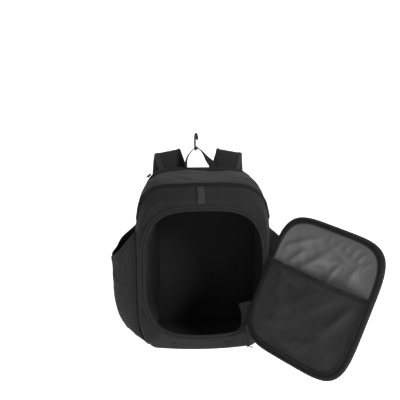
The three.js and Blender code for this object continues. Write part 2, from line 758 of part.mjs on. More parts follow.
function makeHook() {
  const bend = (radius, height, from, to, steps) => Array.from({ length: steps + 1 }, (_, i) => {
    const angle = THREE.MathUtils.degToRad(from + (to - from) * i / steps);
    return new THREE.Vector3(0, radius * Math.cos(angle), height + radius * Math.sin(angle));
  });
  const points = [
    new THREE.Vector3(0, hook_upper_radius, -hook_upper_radius * 0.6),
    ...bend(hook_upper_radius, 0, 0, 180, 8),
    ...bend(hook_lower_radius, -hook_reach, 180, 360, 8),
    new THREE.Vector3(0, hook_lower_radius, -hook_reach + hook_lower_radius * 0.45),
  ];
  const hook = piece('fence_hook', tube(points, hook_wire, WIRE_SIDES, 32), 'metal');
  hook.position.copy(hook_middle);
  hook.rotation.z = THREE.MathUtils.degToRad(-hook_turn);
}

// Sliders and pulls

function sliderBody() {
  const shape = new THREE.Shape();
  shape.moveTo(-slider_width / 2, slider_length * 0.15);
  shape.quadraticCurveTo(-slider_width / 2, slider_length / 2, 0, slider_length / 2);
  shape.quadraticCurveTo(slider_width / 2, slider_length / 2, slider_width / 2, slider_length * 0.15);
  shape.lineTo(slider_width * 0.3, -slider_length / 2);
  shape.lineTo(-slider_width * 0.3, -slider_length / 2);
  shape.closePath();
  const geometry = new THREE.ExtrudeGeometry(shape, { depth: slider_thickness, bevelEnabled: false, curveSegments: 5 });
  return geometry.translate(0, 0, -slider_thickness / 2);
}

// The door's slider stops at the opening's lower right, with a knotted cord hanging from it.
function makeDoorSlider() {
  const angle = THREE.MathUtils.degToRad(-54);
  const reach = zip_width / 2 + 0.5;
  const x = (opening_width / 2 + reach) * power(Math.cos(angle), opening_roundness);
  const z = opening_middle + (opening_height / 2 + reach) * power(Math.sin(angle), opening_roundness);
  const y = front_y - 2 * seam_gap - zip_thickness - slider_thickness / 2 - 0.6;
  const place = bow(new THREE.Vector3(x, y, z));
  const slider = piece('door_slider', sliderBody(), 'metal');
  slider.position.copy(place);
  slider.rotation.set(Math.PI / 2, 0, THREE.MathUtils.degToRad(8));

  const start = place.clone().add(new THREE.Vector3(0, 0, -slider_length / 2 - seam_gap));
  const end = start.clone().add(new THREE.Vector3(2, -1.5, -pull_length));
  const middle = start.clone().lerp(end, 0.5).add(new THREE.Vector3(-0.8, -1, 0));
  piece('door_pull_cord', tube([start, middle, end], pull_cord, CORD_SIDES, 8), 'webbing');

  const knot_at = end.clone().add(new THREE.Vector3(0.3, 0, -knot_radius - seam_gap));
  const knot = new THREE.IcosahedronGeometry(knot_radius, 2);
  knot.scale(1.15, 0.9, 1);
  knot.translate(...knot_at.toArray());
  const tail_end = knot_at.clone().add(new THREE.Vector3(tail_length, 0, -tail_length * 0.55));
  const bend = knot_at.clone().lerp(tail_end, 0.5).add(new THREE.Vector3(0, -0.6, 1));
  const tail = tube([knot_at, bend, tail_end], pull_cord, CORD_SIDES, 5);
  piece('door_pull_knot', fromSolid(toSolid(knot).add(toSolid(tail))), 'webbing');
}

// The rear compartment's slider rests on the crown's left shoulder, with a small oval ring.
function makeRearSlider(zip_depth) {
  const x = -body_width * 0.38;
  const { half, top, crown } = sectionAt(BODY_SECTIONS, zip_depth);
  const share = (1 - Math.abs(x / half) ** crown) ** (1 / crown);
  const z = middle_z + (top - middle_z) * share;
  const slope = ((top - middle_z) / half) * (Math.abs(x / half) / share) ** (crown - 1);
  const out = new THREE.Vector3(-slope, 0, 1).normalize();
  const along = new THREE.Vector3(1, 0, slope).normalize();
  const backward = out.clone().cross(along);
  const turn = new THREE.Matrix4().makeBasis(backward, along.clone().negate(), out);
  const rise = 2 * seam_gap + zip_thickness + slider_thickness / 2 + 1.4;
  const place = new THREE.Vector3(x, front_y + body_depth * zip_depth, z).addScaledVector(out, rise);
  const slider = piece('rear_slider', sliderBody(), 'metal');
  slider.quaternion.setFromRotationMatrix(turn);
  slider.position.copy(place);

  const ring = new THREE.TorusGeometry(ring_width / 2 - ring_wire / 2, ring_wire / 2, 6, 18);
  ring.scale(1, ring_length / ring_width, 1);
  const mesh = piece('rear_pull', ring, 'metal');
  mesh.quaternion.setFromRotationMatrix(turn);
  mesh.position.copy(place).addScaledVector(out, slider_thickness / 2 + seam_gap + ring_wire / 2)
    .addScaledVector(along, -ring_length * 0.25);
}

const CROWN_ZIP_DEPTH = 0.19;
const REAR_ZIP_DEPTH = 0.86;

makePanels();
makeBackPanel();
makeInnerWall();
makeArchZip('crown_zip', CROWN_ZIP_DEPTH);
makeArchZip('rear_zip', REAR_ZIP_DEPTH);
makeOpeningZip();
makeFrontLoop(CROWN_ZIP_DEPTH);
makeDoor();
makeDoorPocket();
makeHinge();
makeDoorSlider();
makeRearSlider(REAR_ZIP_DEPTH);
makeHandle();
makeHook();
for (const [name, side] of [['left', -1], ['right', 1]]) {
  makeEyelet(`vent_eyelet_${name}`, front_trim_side + side * eyelet_spacing / 2);
  makeSidePocket(name, side);
  makeStrap(name, side);
}

bag.position.copy(hook_middle).negate();
const backpack = new THREE.Group();
backpack.add(bag);

export default backpack;
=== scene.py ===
"""A baseball bat backpack, hung by its hook, with the front door unzipped and swung open.

The shapes are worked out in the bag's own frame, in millimetres: X to the right, Y from the front to the
wearer's back, Z up from the base. metres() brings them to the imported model's frame.
"""
import math
import bmesh
import bpy
import numpy as np
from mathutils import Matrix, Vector


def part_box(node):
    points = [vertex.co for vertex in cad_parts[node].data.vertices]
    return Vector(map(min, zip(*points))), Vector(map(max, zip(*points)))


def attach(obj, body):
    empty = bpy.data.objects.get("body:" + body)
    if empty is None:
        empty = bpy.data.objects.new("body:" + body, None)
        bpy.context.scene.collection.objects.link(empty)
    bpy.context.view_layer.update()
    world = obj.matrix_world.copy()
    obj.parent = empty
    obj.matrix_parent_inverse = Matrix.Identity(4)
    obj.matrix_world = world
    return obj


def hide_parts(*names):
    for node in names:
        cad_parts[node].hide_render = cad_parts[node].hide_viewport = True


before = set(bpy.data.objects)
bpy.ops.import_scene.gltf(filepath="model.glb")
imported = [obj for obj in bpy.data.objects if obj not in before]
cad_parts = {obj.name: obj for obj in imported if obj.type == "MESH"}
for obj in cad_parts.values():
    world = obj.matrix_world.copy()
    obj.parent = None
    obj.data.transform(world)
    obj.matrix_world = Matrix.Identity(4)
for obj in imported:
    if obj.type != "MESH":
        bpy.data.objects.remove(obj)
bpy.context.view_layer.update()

# Sizes in millimetres
BODY_WIDTH = 342
BODY_HEIGHT = 435
BODY_DEPTH = 215
FRONT_BOW = 24
FRONT_NOD = 8
WALL = 2.4
BASE_HEIGHT = 20
BASE_FLATTENING = 8
SHELL_END = 0.935
OPENING_WIDTH = 298
OPENING_HEIGHT = 324
OPENING_BOTTOM = 40
OPENING_ROUNDNESS = 3.2
ZIP_WIDTH = 6.5
DOOR_ROUNDNESS = 4.8
DOOR_THICKNESS = 6
DOOR_DOME = 10
DOOR_RIM = 12.5
POCKET_HEIGHT = 198.5
POCKET_RISE = 14
STRAP_WIDTH = 72
STRAP_THICKNESS = 13
STRAP_STANDOFF = 58
STRAP_SPREAD = 140
WEBBING_WIDTH = 25
FRONT_TRIM_SIDE = -8

FRONT = -BODY_DEPTH / 2
BACK = BODY_DEPTH / 2
MIDDLE = BODY_HEIGHT / 2
DOOR_WIDTH = OPENING_WIDTH + 2 * ZIP_WIDTH
DOOR_HEIGHT = OPENING_HEIGHT + 2 * ZIP_WIDTH
OPENING_MIDDLE = OPENING_BOTTOM + OPENING_HEIGHT / 2
BAG_SHIFT = np.array([9.0, -99.0, -517.03])

# Outlines from front to back: shares of depth, half width, top and bottom, and the upper half's roundness
BODY_SECTIONS = np.array([
    [0.0, 0.93, 0.895, 0.012, 4.5],
    [0.05, 0.965, 0.92, 0.0, 4.5],
    [0.22, 1.0, 0.975, 0.0, 4.5],
    [0.5, 0.975, 0.992, 0.0, 5.2],
    [0.78, 0.905, 0.998, 0.0, 6.0],
    [0.935, 0.86, 0.992, 0.0, 6.0],
])
BACK_SECTIONS = np.array([
    [0.0, 0.86, 0.995, 0.006, 6.0],
    [0.35, 0.868, 1.008, 0.004, 6.0],
    [0.8, 0.85, 1.002, 0.014, 6.0],
    [1.0, 0.81, 0.98, 0.035, 6.0],
])
# A shoulder strap's run: shares of height, standoff, spread and full width
STRAP_RUN = np.array([
    [0.9, 0.0, 0.47, 1.0],
    [0.985, 0.03, 0.5, 1.0],
    [1.055, 0.2, 0.57, 1.0],
    [1.078, 0.5, 0.6, 1.0],
    [1.03, 0.86, 0.62, 1.0],
    [0.86, 1.06, 0.67, 0.97],
    [0.62, 1.0, 0.75, 0.9],
    [0.42, 0.76, 0.82, 0.84],
    [0.28, 0.52, 0.86, 0.78],
])


# Points and paths

def metres(points):
    """Bag frame in millimetres to the model's frame in metres: shift, then a thousandth."""
    return (np.asarray(points, float) + BAG_SHIFT) / 1000


def rounded(value, roundness):
    """The signed power that turns a circle's cosine or sine into a superellipse's."""
    return np.sign(value) * np.abs(value) ** (2 / roundness)


def unit(vectors):
    """Vectors over their own lengths."""
    return vectors / np.maximum(np.linalg.norm(vectors, axis=-1, keepdims=True), 1e-12)


def spaced(path, count, closed=False):
    """count points at equal distances along a dense path; a closed one doesn't repeat its first."""
    path = np.asarray(path, float)
    if closed:
        path = np.vstack([path, path[:1]])
    run = np.concatenate([[0], np.cumsum(np.linalg.norm(np.diff(path, axis=0), axis=1))])
    at = np.linspace(0, run[-1], count, endpoint=not closed)
    return np.stack([np.interp(at, run, path[:, k]) for k in range(path.shape[1])], axis=1)


def smooth_path(knots, count):
    """A Catmull-Rom curve through the knots: each span is the cubic whose end slopes are half the
    difference of the neighbouring knots, sampled at equal distances."""
    knots = np.asarray(knots, float)
    padded = np.vstack([2 * knots[0] - knots[1], knots, 2 * knots[-1] - knots[-2]])
    t = np.linspace(0, 1, 24, endpoint=False)[:, None, None]
    a, b, c, d = (padded[k:len(padded) - 3 + k][None] for k in range(4))
    curve = 0.5 * (2 * b + (c - a) * t + (2 * a - 5 * b + 4 * c - d) * t ** 2
                   + (3 * b - a - 3 * c + d) * t ** 3)
    dense = curve.transpose(1, 0, 2).reshape(-1, knots.shape[1])
    return spaced(np.vstack([dense, knots[-1:]]), count)


def ripples(points, size, seed, stretch=(1, 1, 1), waves=20):
    """Soft random waves: a sum of sines in seeded directions whose lengths are near size."""
    rng = np.random.default_rng(seed)
    ways = unit(rng.normal(size=(waves, 3))) / np.asarray(stretch)
    ways *= (2 * math.pi / size * rng.uniform(0.6, 1.5, waves))[:, None]
    phase = rng.uniform(0, 2 * math.pi, waves)
    return np.sin(np.asarray(points) @ ways.T + phase).sum(-1) * math.sqrt(2 / waves)


def folds(points, size, seed, stretch=(1, 1, 1)):
    """Narrow ridges along the lines where soft random waves cross zero."""
    return np.exp(-(ripples(points, size, seed, stretch) / 0.35) ** 2)


def grid_normals(grid, wrap=False):
    """Unit normals of a grid surface: rows' direction crossed with columns' direction."""
    down = np.gradient(grid, axis=0)
    if wrap:
        across = (np.roll(grid, -1, axis=1) - np.roll(grid, 1, axis=1)) / 2
    else:
        across = np.gradient(grid, axis=1)
    return unit(np.cross(down, across))


# Meshes

def grid_faces(rows, columns, wrap_rows=False, wrap_columns=False, start=0):
    """Quads of a grid of vertices numbered row by row, and each corner's unwrapped row and column."""
    r = np.arange(rows if wrap_rows else rows - 1)
    c = np.arange(columns if wrap_columns else columns - 1)
    r, c = np.meshgrid(r, c, indexing="ij")
    corner_r = np.stack([r, r, r + 1, r + 1], -1).reshape(-1, 4)
    corner_c = np.stack([c, c + 1, c + 1, c], -1).reshape(-1, 4)
    faces = (corner_r % rows) * columns + corner_c % columns + start
    return faces, corner_r, corner_c


def add_mesh(name, points, faces, material, uvs=None, flat=False, weld=False, sharp=None):
    """A piece from vertices in the bag's frame; weld joins the points of a closed pole."""
    mesh = bpy.data.meshes.new(name)
    points = metres(points)
    mesh.vertices.add(len(points))
    mesh.vertices.foreach_set("co", points.astype(np.float32).ravel())
    faces = np.asarray(faces)
    mesh.loops.add(faces.size)
    mesh.loops.foreach_set("vertex_index", faces.astype(np.int32).ravel())
    mesh.polygons.add(len(faces))
    width = faces.shape[1]
    mesh.polygons.foreach_set("loop_start", np.arange(0, faces.size, width, dtype=np.int32))
    mesh.polygons.foreach_set("loop_total", np.full(len(faces), width, np.int32))
    mesh.update(calc_edges=True)
    if uvs is not None:
        layer = mesh.uv_layers.new(name="along")
        layer.data.foreach_set("uv", (np.asarray(uvs) / 1000).astype(np.float32).ravel())
    mesh.polygons.foreach_set("use_smooth", np.full(len(faces), not flat))
    mesh.materials.append(material)
    if weld:
        work = bmesh.new()
        work.from_mesh(mesh)
        bmesh.ops.remove_doubles(work, verts=work.verts, dist=2e-6)
        bmesh.ops.dissolve_degenerate(work, edges=work.edges, dist=1e-7)
        work.to_mesh(mesh)
        work.free()
    mesh.validate()
    mesh.update()
    if sharp is not None:
        mesh.set_sharp_from_angle(angle=math.radians(sharp))
    piece = bpy.data.objects.new(name, mesh)
    bpy.context.scene.collection.objects.link(piece)
    face_out(piece)
    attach(piece, "root")
    return piece


def face_out(piece):
    """Turns a closed mesh whose signed volume is below zero inside out."""
    work = bmesh.new()
    work.from_mesh(piece.data)
    if work.calc_volume(signed=True) < 0:
        bmesh.ops.reverse_faces(work, faces=work.faces)
        work.to_mesh(piece.data)
    work.free()


def lengths(grid, axis, wrap=False):
    """Distances along a grid's middle line on one axis, for a pattern that follows the surface."""
    line = grid[:, grid.shape[1] // 2] if axis == 0 else grid[grid.shape[0] // 2]
    if wrap:
        line = np.vstack([line, line[:1]])
    return np.concatenate([[0], np.cumsum(np.linalg.norm(np.diff(line, axis=0), axis=1))])


def hoop(name, grid, material, wrap_rows=True, **options):
    """A closed ring surface: grid rows are stations round the loop, columns go round its section."""
    faces, r, c = grid_faces(*grid.shape[:2], wrap_rows, True)
    along = lengths(grid, 0, wrap_rows)
    across = lengths(grid, 1, True)
    uvs = np.stack([along[r], across[c]], -1)
    return add_mesh(name, grid.reshape(-1, 3), faces, material, uvs, **options)


def slab(name, face, back, material, **options):
    """A sheet with thickness: two grids of the same shape and the strip that closes their edges."""
    rows, columns = face.shape[:2]
    first, r, c = grid_faces(rows, columns)
    second = first[:, ::-1] + rows * columns
    along, across = lengths(face, 0), lengths(face, 1)
    uvs = np.stack([along[r], across[c]], -1)
    index = np.arange(rows * columns).reshape(rows, columns)
    border = np.concatenate([index[0, :-1], index[:-1, -1], index[-1, :0:-1], index[:0:-1, 0]])
    border_uv = np.stack([along[border // columns], across[border % columns]], -1)
    after = np.roll(border, -1)
    edge = np.stack([after, border, border + rows * columns, after + rows * columns], -1)
    edge_uv = np.stack([np.roll(border_uv, -1, 0), border_uv, border_uv, np.roll(border_uv, -1, 0)], 1)
    faces = np.concatenate([first, second, edge])
    uvs = np.concatenate([uvs, uvs[:, ::-1], edge_uv])
    return add_mesh(name, np.concatenate([face.reshape(-1, 3), back.reshape(-1, 3)]), faces, material,
                    uvs, **options)


def tube_grid(path, across, out, section):
    """Stations along a path, each with the section's points laid out on its two axes."""
    return path[:, None] + across[:, None] * section[None, :, :1] + out[:, None] * section[None, :, 1:]


def frames(path, out_hint, closed=False):
    """Side and out axes along a path: out is the hint with its part along the path taken away."""
    if closed:
        along = unit(np.roll(path, -1, axis=0) - np.roll(path, 1, axis=0))
    else:
        along = unit(np.gradient(path, axis=0))
    hint = np.broadcast_to(out_hint, path.shape)
    out = unit(hint - along * (hint * along).sum(-1, keepdims=True))
    return np.cross(out, along), out


def ring_section(width, height, sides=10, roundness=2.0):
    """A section's outline as a superellipse of that width and height."""
    angle = np.linspace(0, 2 * math.pi, sides, endpoint=False)
    return np.stack([width / 2 * rounded(np.cos(angle), roundness),
                     height / 2 * rounded(np.sin(angle), roundness)], 1)


def rod(name, path, diameter, material, out_hint=(0, 0, 1), sides=10, closed=False, tips=True, **options):
    """A round rod along a path. Its open ends close as half balls: the radius follows a quarter circle."""
    across, out = frames(path, out_hint, closed)
    section = ring_section(diameter, diameter, sides)
    if closed:
        return hoop(name, tube_grid(path, across, out, section), material, **options)
    along = np.cross(across, out)
    radius = diameter / 2
    angle = np.linspace(0, math.pi / 2, 4)[1:]
    reach = radius * np.sin(angle) if tips else radius * 0.02 * np.ones(3)
    shrink = np.cos(angle) if tips else np.array([0.9, 0.4, 0])
    head = path[0] - along[0] * reach[::-1, None]
    tail = path[-1] + along[-1] * reach[:, None]
    path = np.vstack([head, path, tail])
    across = np.vstack([np.repeat(across[:1], 3, 0), across, np.repeat(across[-1:], 3, 0)])
    out = np.vstack([np.repeat(out[:1], 3, 0), out, np.repeat(out[-1:], 3, 0)])
    size = np.concatenate([shrink[::-1], np.ones(len(path) - 6), shrink])
    size[np.abs(size) < 1e-9] = 0
    grid = path[:, None] + (across[:, None] * section[None, :, :1] + out[:, None] * section[None, :, 1:]) \
        * size[:, None, None]
    return hoop(name, grid, material, wrap_rows=False, weld=True, **options)


def ribbon(name, path, across, width, thickness, material, **options):
    """A flat strip along a path: a slab whose width lies on across and whose thickness stands on it."""
    width = np.broadcast_to(width, len(path))[:, None, None]
    along = unit(np.gradient(path, axis=0))
    across = unit(across - along * (across * along).sum(-1, keepdims=True))
    out = np.cross(across, along)
    share = np.linspace(-0.5, 0.5, 7)[None, :, None]
    middle = path[:, None] + across[:, None] * share * width
    lift = out[:, None] * (thickness / 2) * (1 - 0.55 * np.abs(2 * share) ** 6)
    return slab(name, middle + lift, middle - lift, material, **options)


BRICK = np.array([[x, y, z] for x in (-0.5, 0.5) for y in (-0.5, 0.5) for z in (-0.5, 0.5)])
BRICK_FACES = np.array([[0, 1, 3, 2], [4, 6, 7, 5], [0, 4, 5, 1], [2, 3, 7, 6], [0, 2, 6, 4], [1, 5, 7, 3]])


def small_blocks(name, centres, along, out, size, material, taper=0.7):
    """Many small blocks, such as teeth or stitches: a brick whose top is narrower, placed at each
    centre on its own along, side and out axes."""
    side = np.cross(out, along)
    axes = np.stack([along, side, out], 1) * np.asarray(size)[None, :, None]
    brick = BRICK.copy()
    brick[BRICK[:, 2] > 0, :2] *= taper
    points = centres[:, None] + np.einsum("pk,nkj->npj", brick, axes)
    faces = (BRICK_FACES[None] + 8 * np.arange(len(centres))[:, None, None]).reshape(-1, 4)
    return add_mesh(name, points.reshape(-1, 3), faces, material, flat=True)


def stitch_row(name, path, out, material, pitch=3.2, length=2.3, width=0.55, closed=False):
    """A row of stitches at equal steps along a path, each a small thread block that stands on out."""
    run = np.linalg.norm(np.diff(path, axis=0), axis=1).sum()
    count = max(int(run / pitch), 2)
    both = spaced(np.hstack([path, np.broadcast_to(out, path.shape)]), count, closed)
    centres, out = both[:, :3], unit(both[:, 3:])
    along = unit(np.roll(centres, -1, 0) - np.roll(centres, 1, 0)) if closed else \
        unit(np.gradient(centres, axis=0))
    out = unit(out - along * (out * along).sum(-1, keepdims=True))
    return small_blocks(name, centres + out * width * 0.3, along, out, (length, width, width), material, 0.8)


# Materials

class Value:
    """A shader number that can be added, taken away, multiplied and divided."""

    def __init__(self, finish, socket):
        self.finish = finish
        self.socket = socket

    def math(self, operation, *others):
        values = dict(enumerate([self, *others]))
        return self.finish.node("ShaderNodeMath", {"operation": operation}, values)

    def __add__(self, other):
        return self.math("ADD", other)

    def __sub__(self, other):
        return self.math("SUBTRACT", other)

    def __mul__(self, other):
        return self.math("MULTIPLY", other)

    def __truediv__(self, other):
        return self.math("DIVIDE", other)

    def __rsub__(self, other):
        return (self * -1).math("ADD", other)

    __radd__ = __add__
    __rmul__ = __mul__

    def sine(self):
        return self.math("SINE")

    def between(self, low, high):
        """0 below low, 1 above high, and even in between."""
        return self.finish.node("ShaderNodeMapRange", {"clamp": True},
                                {"Value": self, "From Min": low, "From Max": high})


class Finish:
    """A material: node() makes any node, and paint() sets what the surface shows."""

    def __init__(self, name, color, roughness, metallic=0.0, sheen=0.0, coat=0.0, specular=0.5):
        self.material = bpy.data.materials.new(name)
        self.material.use_nodes = True
        self.tree = self.material.node_tree
        self.shader = self.tree.nodes["Principled BSDF"]
        self.color = color
        self.set("Base Color", (*color, 1))
        self.set("Roughness", roughness)
        self.set("Metallic", metallic)
        self.set("Sheen Weight", sheen)
        self.set("Sheen Roughness", 0.5)
        self.set("Coat Weight", coat)
        self.set("Specular IOR Level", specular)

    def set(self, name, value):
        if isinstance(value, Value):
            self.tree.links.new(value.socket, self.shader.inputs[name])
        else:
            self.shader.inputs[name].default_value = value

    def node(self, kind, settings=None, values=None, output=0):
        made = self.tree.nodes.new(kind)
        for key, value in (settings or {}).items():
            if key == "stops":
                for element, (place, color) in zip(made.color_ramp.elements, value):
                    element.position = place
                    element.color = color
            else:
                setattr(made, key, value)
        for key, value in (values or {}).items():
            if isinstance(value, Value):
                self.tree.links.new(value.socket, made.inputs[key])
            else:
                made.inputs[key].default_value = value
        return Value(self, made.outputs[output])

    def place(self):
        return self.node("ShaderNodeTexCoord", output="Object")

    def axes(self, vector):
        split = self.node("ShaderNodeSeparateXYZ", values={0: vector})
        outputs = split.socket.node.outputs
        return [Value(self, outputs[k]) for k in range(3)]

    def along(self):
        """Distances along and across the surface, in metres, from the piece's own map."""
        return self.axes(self.node("ShaderNodeUVMap", {"uv_map": "along"}))[:2]

    def noise(self, scale, detail=2.0, roughness=0.5, vector=None):
        """Noise whose blotches are 1/scale metres wide."""
        return self.node("ShaderNodeTexNoise", values={
            "Vector": vector or self.place(), "Scale": scale, "Detail": detail, "Roughness": roughness})

    def paint(self, factor, low, high):
        """Base colour between two shares of the finish's colour, by factor."""
        shades = [(*(min(c * share, 1) for c in self.color), 1) for share in (low, high)]
        self.set("Base Color", self.node("ShaderNodeMix", {"data_type": "RGBA"},
                                         {0: factor, 6: shades[0], 7: shades[1]}, output=2))

    def bump(self, height, distance, strength=1.0):
        self.set("Normal", self.node("ShaderNodeBump", values={
            "Height": height, "Distance": distance, "Strength": strength}))


def woven(name, color, roughness=0.85, pitch=0.9, sheen=0.25, mapped=True, low=0.75, high=1.3, depth=0.25,
          painted_shade_span=None):
    """Plain woven cloth: crossed yarns as the product of two sines, soiled a little by soft noise. With
    a painted shade span, two places along Y in metres, the colour darkens towards the second as painted
    shade."""
    finish = Finish(name, color, roughness, sheen=sheen * 0.25, specular=0.1)
    turn = 2 * math.pi / (pitch / 1000)
    if mapped:
        u, v = finish.along()
        yarns = (u * turn).sine() * (v * turn).sine()
    else:
        x, y, z = finish.axes(finish.place())
        yarns = ((x + y) * turn).sine() * ((z + y) * turn).sine()
    fuzz = finish.noise(900, 3, 0.6)
    blotch = finish.noise(14, 3, 0.55)
    shade = (blotch * 0.6 + fuzz * 0.4 + yarns * 0.08).between(0.25, 0.75)
    # painted shade: the colour darkens along Y towards the span's second place, deeper into the bag
    if painted_shade_span:
        shade = shade * (1 - finish.axes(finish.place())[1].between(*painted_shade_span))
    finish.paint(shade, low, high)
    finish.set("Roughness", (blotch * 0.2 + fuzz * 0.15 + (roughness - 0.17)).between(0, 1))
    creases = finish.noise(60, 4, 0.6)
    finish.bump(yarns * 0.35 + fuzz * 0.5 + creases * 1.6, depth / 1000)
    return finish.material


def ribbed(name, color, roughness=0.7, pitch=1.6, low=0.7, high=1.25, depth=0.35):
    """Webbing: ribs along the strip crossed by fine weft lines."""
    finish = Finish(name, color, roughness, sheen=0.05, specular=0.15)
    u, v = finish.along()
    ribs = (v * (2 * math.pi / (pitch / 1000))).sine()
    weft = ((u + v * 0.5) * (2 * math.pi / 0.0011)).sine()
    wear = finish.noise(120, 3, 0.6)
    finish.paint((ribs * 0.3 + weft * 0.1 + wear).between(0.1, 0.95), low, high)
    finish.set("Roughness", (wear * 0.3 + (roughness - 0.15)).between(0, 1))
    finish.bump(ribs * 0.6 + weft * 0.4 + wear * 0.3, depth / 1000)
    return finish.material


def moulded(name, color, roughness, metallic=0.0, coat=0.0, grain=700, depth=0.05, wear=1.35):
    """Moulded plastic or enamelled metal: fine grain, and brighter where noise has rubbed it."""
    finish = Finish(name, color, roughness, metallic=metallic, coat=coat)
    fine = finish.noise(grain, 2, 0.5)
    broad = finish.noise(70, 3, 0.55)
    finish.paint((broad * 0.8 + fine * 0.2).between(0.3, 0.75), 0.8, wear)
    finish.set("Roughness", (broad * 0.3 + fine * 0.1 + (roughness - 0.2)).between(0, 1))
    finish.bump(fine + broad * 0.5, depth / 1000)
    return finish.material


def spacer_mesh(name, color, pitch=2.6):
    """Knitted spacer mesh: a net of small round holes on crossed sines over soft foam."""
    finish = Finish(name, color, 0.9, sheen=0.08, specular=0.1)
    x, y, z = finish.axes(finish.place())
    turn = 2 * math.pi / (pitch / 1000)
    holes = ((x + y * 0.7) * turn).sine() * ((z + y * 0.7) * turn).sine()
    fuzz = finish.noise(700, 3, 0.6)
    blotch = finish.noise(18, 3, 0.5)
    finish.paint((holes * 0.35 + fuzz * 0.3 + blotch * 0.5).between(0.1, 0.8), 0.6, 1.25)
    finish.set("Roughness", (blotch * 0.15 + 0.8).between(0, 1))
    finish.bump(holes.between(-0.2, 0.5) + fuzz * 0.3, 0.0004)
    return finish.material


SHELL_CLOTH = woven("shell_cloth", (0.0165, 0.0165, 0.0172))
LOWER_CLOTH = woven("lower_cloth", (0.0215, 0.0215, 0.0222), 0.62, pitch=0.7, sheen=0.1, depth=0.12)
INNER_CLOTH = woven("inner_cloth", (0.0115, 0.0115, 0.012), 0.8, sheen=0.1, depth=0.15)
# The sleeve's wall gets painted shade: its colour darkens towards the back of the deep, narrow sleeve.
SLEEVE_CLOTH = woven("sleeve_cloth", (0.018, 0.018, 0.0186), 0.8, sheen=0.1, low=0.12, high=1.6, depth=0.15,
                     painted_shade_span=(-0.215, -0.1))
DOOR_CLOTH = woven("door_cloth", (0.0165, 0.0165, 0.0172), mapped=False)
LINING = woven("door_lining_cloth", (0.15, 0.15, 0.153), 0.4, pitch=0.6, sheen=0.15, low=0.9, high=1.12,
               depth=0.15)
POCKET_CLOTH = woven("pocket_cloth", (0.021, 0.021, 0.0218), 0.72, sheen=0.3, depth=0.2)
DOOR_POCKET_CLOTH = woven("door_pocket_cloth", (0.031, 0.031, 0.032), 0.68, sheen=0.3, depth=0.2)
ZIP_TAPE = ribbed("zip_tape", (0.009, 0.009, 0.0095), 0.75, pitch=1.0)
PIPING = ribbed("piping_cloth", (0.018, 0.018, 0.019), 0.6, pitch=1.4)
BACK_PIPING = ribbed("back_piping_cloth", (0.032, 0.032, 0.033), 0.55, pitch=1.4)
WEBBING = ribbed("webbing", (0.014, 0.014, 0.0145), 0.65)
BINDING = ribbed("strap_binding", (0.032, 0.032, 0.033), 0.6, pitch=1.2)
LIGHT_WEBBING = ribbed("light_webbing", (0.036, 0.036, 0.037), 0.55, pitch=1.5)
PAD_MESH = spacer_mesh("spacer_mesh", (0.017, 0.017, 0.018))
STRAP_CLOTH = woven("strap_cloth", (0.019, 0.019, 0.0197), mapped=False)
CORD_BRAID = ribbed("cord_braid", (0.012, 0.012, 0.0125), 0.6, pitch=0.8)
THREAD = moulded("thread", (0.02, 0.02, 0.021), 0.7)
TEETH = moulded("zip_teeth", (0.011, 0.011, 0.0115), 0.45, coat=0.1)
NYLON = moulded("moulded_nylon", (0.009, 0.009, 0.0095), 0.4, coat=0.1)
STEEL = moulded("black_steel", (0.022, 0.022, 0.024), 0.35, metallic=0.85)
PALE_METAL = moulded("pale_metal", (0.45, 0.45, 0.46), 0.32, metallic=0.8)


# The body

def shares_at(table, depth):
    """A section table's rows at given depths, with the corners between rows rounded by averaging
    five readings close together."""
    depth = np.asarray(depth, float)
    spread = np.array([-0.04, -0.02, 0, 0.02, 0.04])
    near = np.clip(depth[..., None] + spread, table[0, 0], table[-1, 0])
    return np.stack([np.interp(near, table[:, 0], table[:, k]).mean(-1) for k in (1, 2, 3, 4)], -1)


def bow(points):
    """Moves the front half's sides and its top and bottom back: by squares of the distances from the
    middle, times how far forward the point lies."""
    points = np.array(points, float)
    share = np.clip(points[..., 1] / FRONT, 0, 1)
    points[..., 1] += share * (FRONT_BOW * (points[..., 0] / (BODY_WIDTH / 2)) ** 2
                               + FRONT_NOD * ((points[..., 2] - MIDDLE) / MIDDLE) ** 2)
    return points


def body_outline(row, y, count, grow=0.0):
    """One section's outline: a superellipse, rounder above than below, its bottom held flat,
    starting at the bottom middle and going round by the right."""
    width, top, bottom = row[0] * BODY_WIDTH / 2, row[1] * BODY_HEIGHT, row[2] * BODY_HEIGHT
    angle = np.linspace(-math.pi / 2, 1.5 * math.pi, 2401)[:-1]
    upper = np.sin(angle) >= 0
    roundness = np.where(upper, row[3], 6.0)
    reach = np.where(upper, top + grow - MIDDLE, MIDDLE - bottom + grow + BASE_FLATTENING)
    x = (width + grow) * rounded(np.cos(angle), roundness)
    z = np.maximum(MIDDLE + reach * rounded(np.sin(angle), roundness), bottom - grow)
    return spaced(np.stack([x, np.full_like(x, y), z], 1), count, True)


def round_outline(half_width, half_height, roundness, count):
    """A superellipse about the origin from its lowest point round by the right, evenly spaced."""
    angle = np.linspace(-math.pi / 2, 1.5 * math.pi, 2401)[:-1]
    x = half_width * rounded(np.cos(angle), roundness)
    z = half_height * rounded(np.sin(angle), roundness)
    return spaced(np.stack([x, z], 1), count, True)


def reach_at(half_width, half_height, roundness, z):
    """Half the width of a superellipse at a height from its middle."""
    share = np.clip(np.abs(np.asarray(z, float) / half_height), 0, 1)
    return half_width * (1 - share ** roundness) ** (1 / roundness)


COLUMNS = 320
FACE_ROWS = 15
SIDE_ROWS = 50


